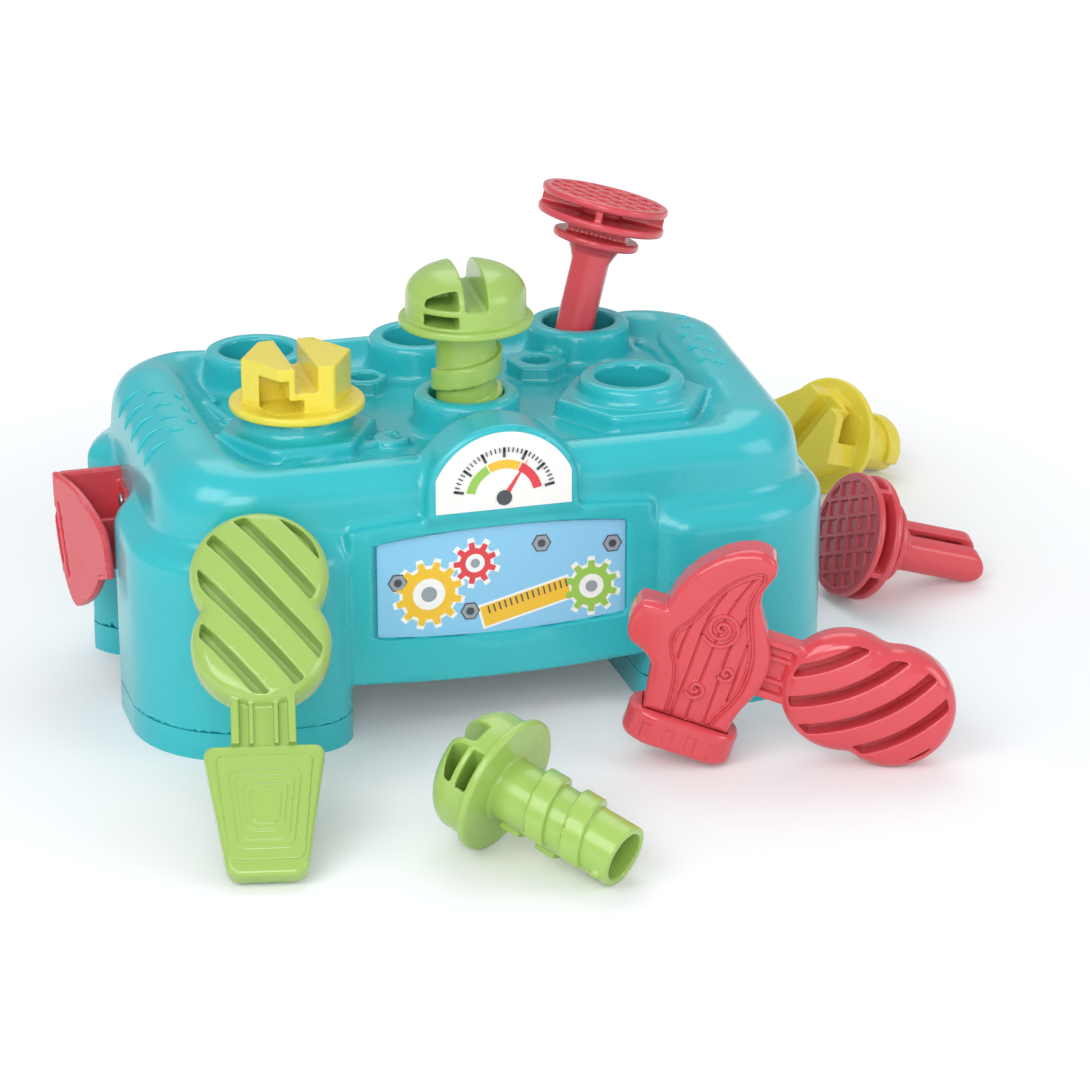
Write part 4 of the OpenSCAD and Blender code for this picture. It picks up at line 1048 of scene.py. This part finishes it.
placed = add_node(tick_tree, "GeometryNodeInstanceOnPoints",
                  links={"Points": stood, "Instance": bar,
                         "Rotation": facing})
made_real(tick_tree, placed, given)

rule_r = 900  # so large that the row of ticks on the rule is straight
for name, count, radius, centre, start, sweep, bar_size, slot in (
        ("label_rule_ticks", 15, rule_r, (10 - (rule_r + 2.8) * sin(radians(-14)),
                                          window_front - 0.3,
                                          53 - (rule_r - 2.8) * cos(radians(-14))),
         90 + 14 - 1.08, 2.16, (0.6, 0.25, 3.4), "window_print"),
        ("dial_ticks_long", 7, 19.5, (0, badge_front - 0.3, dial_z), 12, 156, (1.1, 0.3, 4.2),
         "badge_print"),
        ("dial_ticks_short", 31, 20.6, (0, badge_front - 0.3, dial_z), 12, 156, (0.5, 0.3, 2),
         "badge_print")):
    piece = grown(name, tick_tree,
                  {"Count": count, "Radius": radius * MM, "Start": radians(start),
                   "Sweep": radians(sweep), "Bar": [v * MM for v in bar_size]}, dark_ink)
    piece.data.transform(shifted(*centre))
    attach(piece, "bench")

# hexagon nuts, one outline repeated across the window, each at a height fixed by its number
nut_tree = bpy.data.node_groups.new("printed_nuts", "GeometryNodeTree")
given = node_inputs(nut_tree, (("Nut radius", "Float", 0.0035), ("Ink", "Float", 0.0003),
                               ("Corners", "Int", 6), ("Finish", "Material", None)))
places = add_node(nut_tree, "GeometryNodeMeshLine", {"mode": "END_POINTS", "Count": 4,
                                                     "Start Location": (-0.044, 0, 0.0478),
                                                     "Offset": (0.047, 0, 0.0478)})
index = add_node(nut_tree, "GeometryNodeInputIndex")
lifted = add_node(nut_tree, "ShaderNodeTexWhiteNoise", {"noise_dimensions": "1D"}, {"W": index})
step = add_node(nut_tree, "ShaderNodeMapRange", {"To Min": -0.0015, "To Max": 0.0345},
                {"Value": lifted.outputs["Value"]})
drift = add_node(nut_tree, "ShaderNodeCombineXYZ", links={"Z": step})
moved = add_node(nut_tree, "GeometryNodeSetPosition",
                 links={"Geometry": places, "Offset": drift})
nut = add_node(nut_tree, "GeometryNodeMeshCylinder",
               links={"Vertices": given["Corners"], "Radius": given["Nut radius"],
                      "Depth": given["Ink"]})
placed = add_node(nut_tree, "GeometryNodeInstanceOnPoints", {"Rotation": (pi / 2, 0, 0)},
                  {"Points": moved, "Instance": nut.outputs["Mesh"]})
made_real(nut_tree, placed, given)
for name, r, corners, out, finish in (("label_nuts_edge", 4.2, 6, 0.1, dark_ink),
                                      ("label_nuts", 3.6, 6, 0.18, steel_ink),
                                      ("label_nut_holes", 1.7, 24, 0.26, dark_ink)):
    piece = grown(name, nut_tree, {"Nut radius": r * MM, "Ink": 0.2 * MM, "Corners": corners},
                  finish)
    piece.data.transform(shifted(0, window_front - out, 0))
    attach(piece, "bench")


# the dial's coloured band, its needle and hub
def band_points(r_in, r_out, start, stop, count=18):
    angles = [radians(start + (stop - start) * i / count) for i in range(count + 1)]
    return ([(r_out * cos(a), dial_z + r_out * sin(a)) for a in angles]
            + [(r_in * cos(a), dial_z + r_in * sin(a)) for a in reversed(angles)])


for name, start, stop, finish in (("dial_band_red", 12, 62, coral_ink),
                                  ("dial_band_yellow", 64, 116, sun_ink),
                                  ("dial_band_green", 118, 168, leaf_ink)):
    ink_skin(name, [band_points(12.5, 16.2, start, stop)], badge_front, 0, finish)
needle = radians(57)
c, s = cos(needle), sin(needle)
ink_skin("dial_needle", [[(-1.3 * s - 2 * c, dial_z + 1.3 * c - 2 * s),
                          (1.3 * s - 2 * c, dial_z - 1.3 * c - 2 * s),
                          (18.5 * c, dial_z + 18.5 * s)]],
         badge_front, 2, coral_ink)
ink_skin("dial_hub", [ring_points(0, dial_z, 3.2)], badge_front, 3, dark_ink)

# ------------------------------------------------------------------ fixing screws
# Two small pan-head screws hold the holder's pad to the side panel. They are steel, cold
# headed and then zinc plated, which leaves a soft grey sheen. Their marks are drawn 0.8 mm
# wide, coarser than the real ones, which are too fine to show.
plated, tree = empty_material("steel_zinc_plated_screw")
at = add_node(tree, "ShaderNodeTexCoord").outputs["Object"]
marks = add_node(tree, "ShaderNodeTexNoise", {"Scale": 1200}, {"Vector": at})
metal = add_node(tree, "ShaderNodeBsdfPrincipled",
                 {"Base Color": linear("#B4B8BC"), "Metallic": 1.0},
                 rough_and_wave(tree, marks, 0.28, 0.45, marks, 0.1, 0.0001))
add_node(tree, "ShaderNodeOutputMaterial", links={"Surface": metal})
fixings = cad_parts["holder_screws"]
fixings.data.materials.clear()
fixings.data.materials.append(plated)
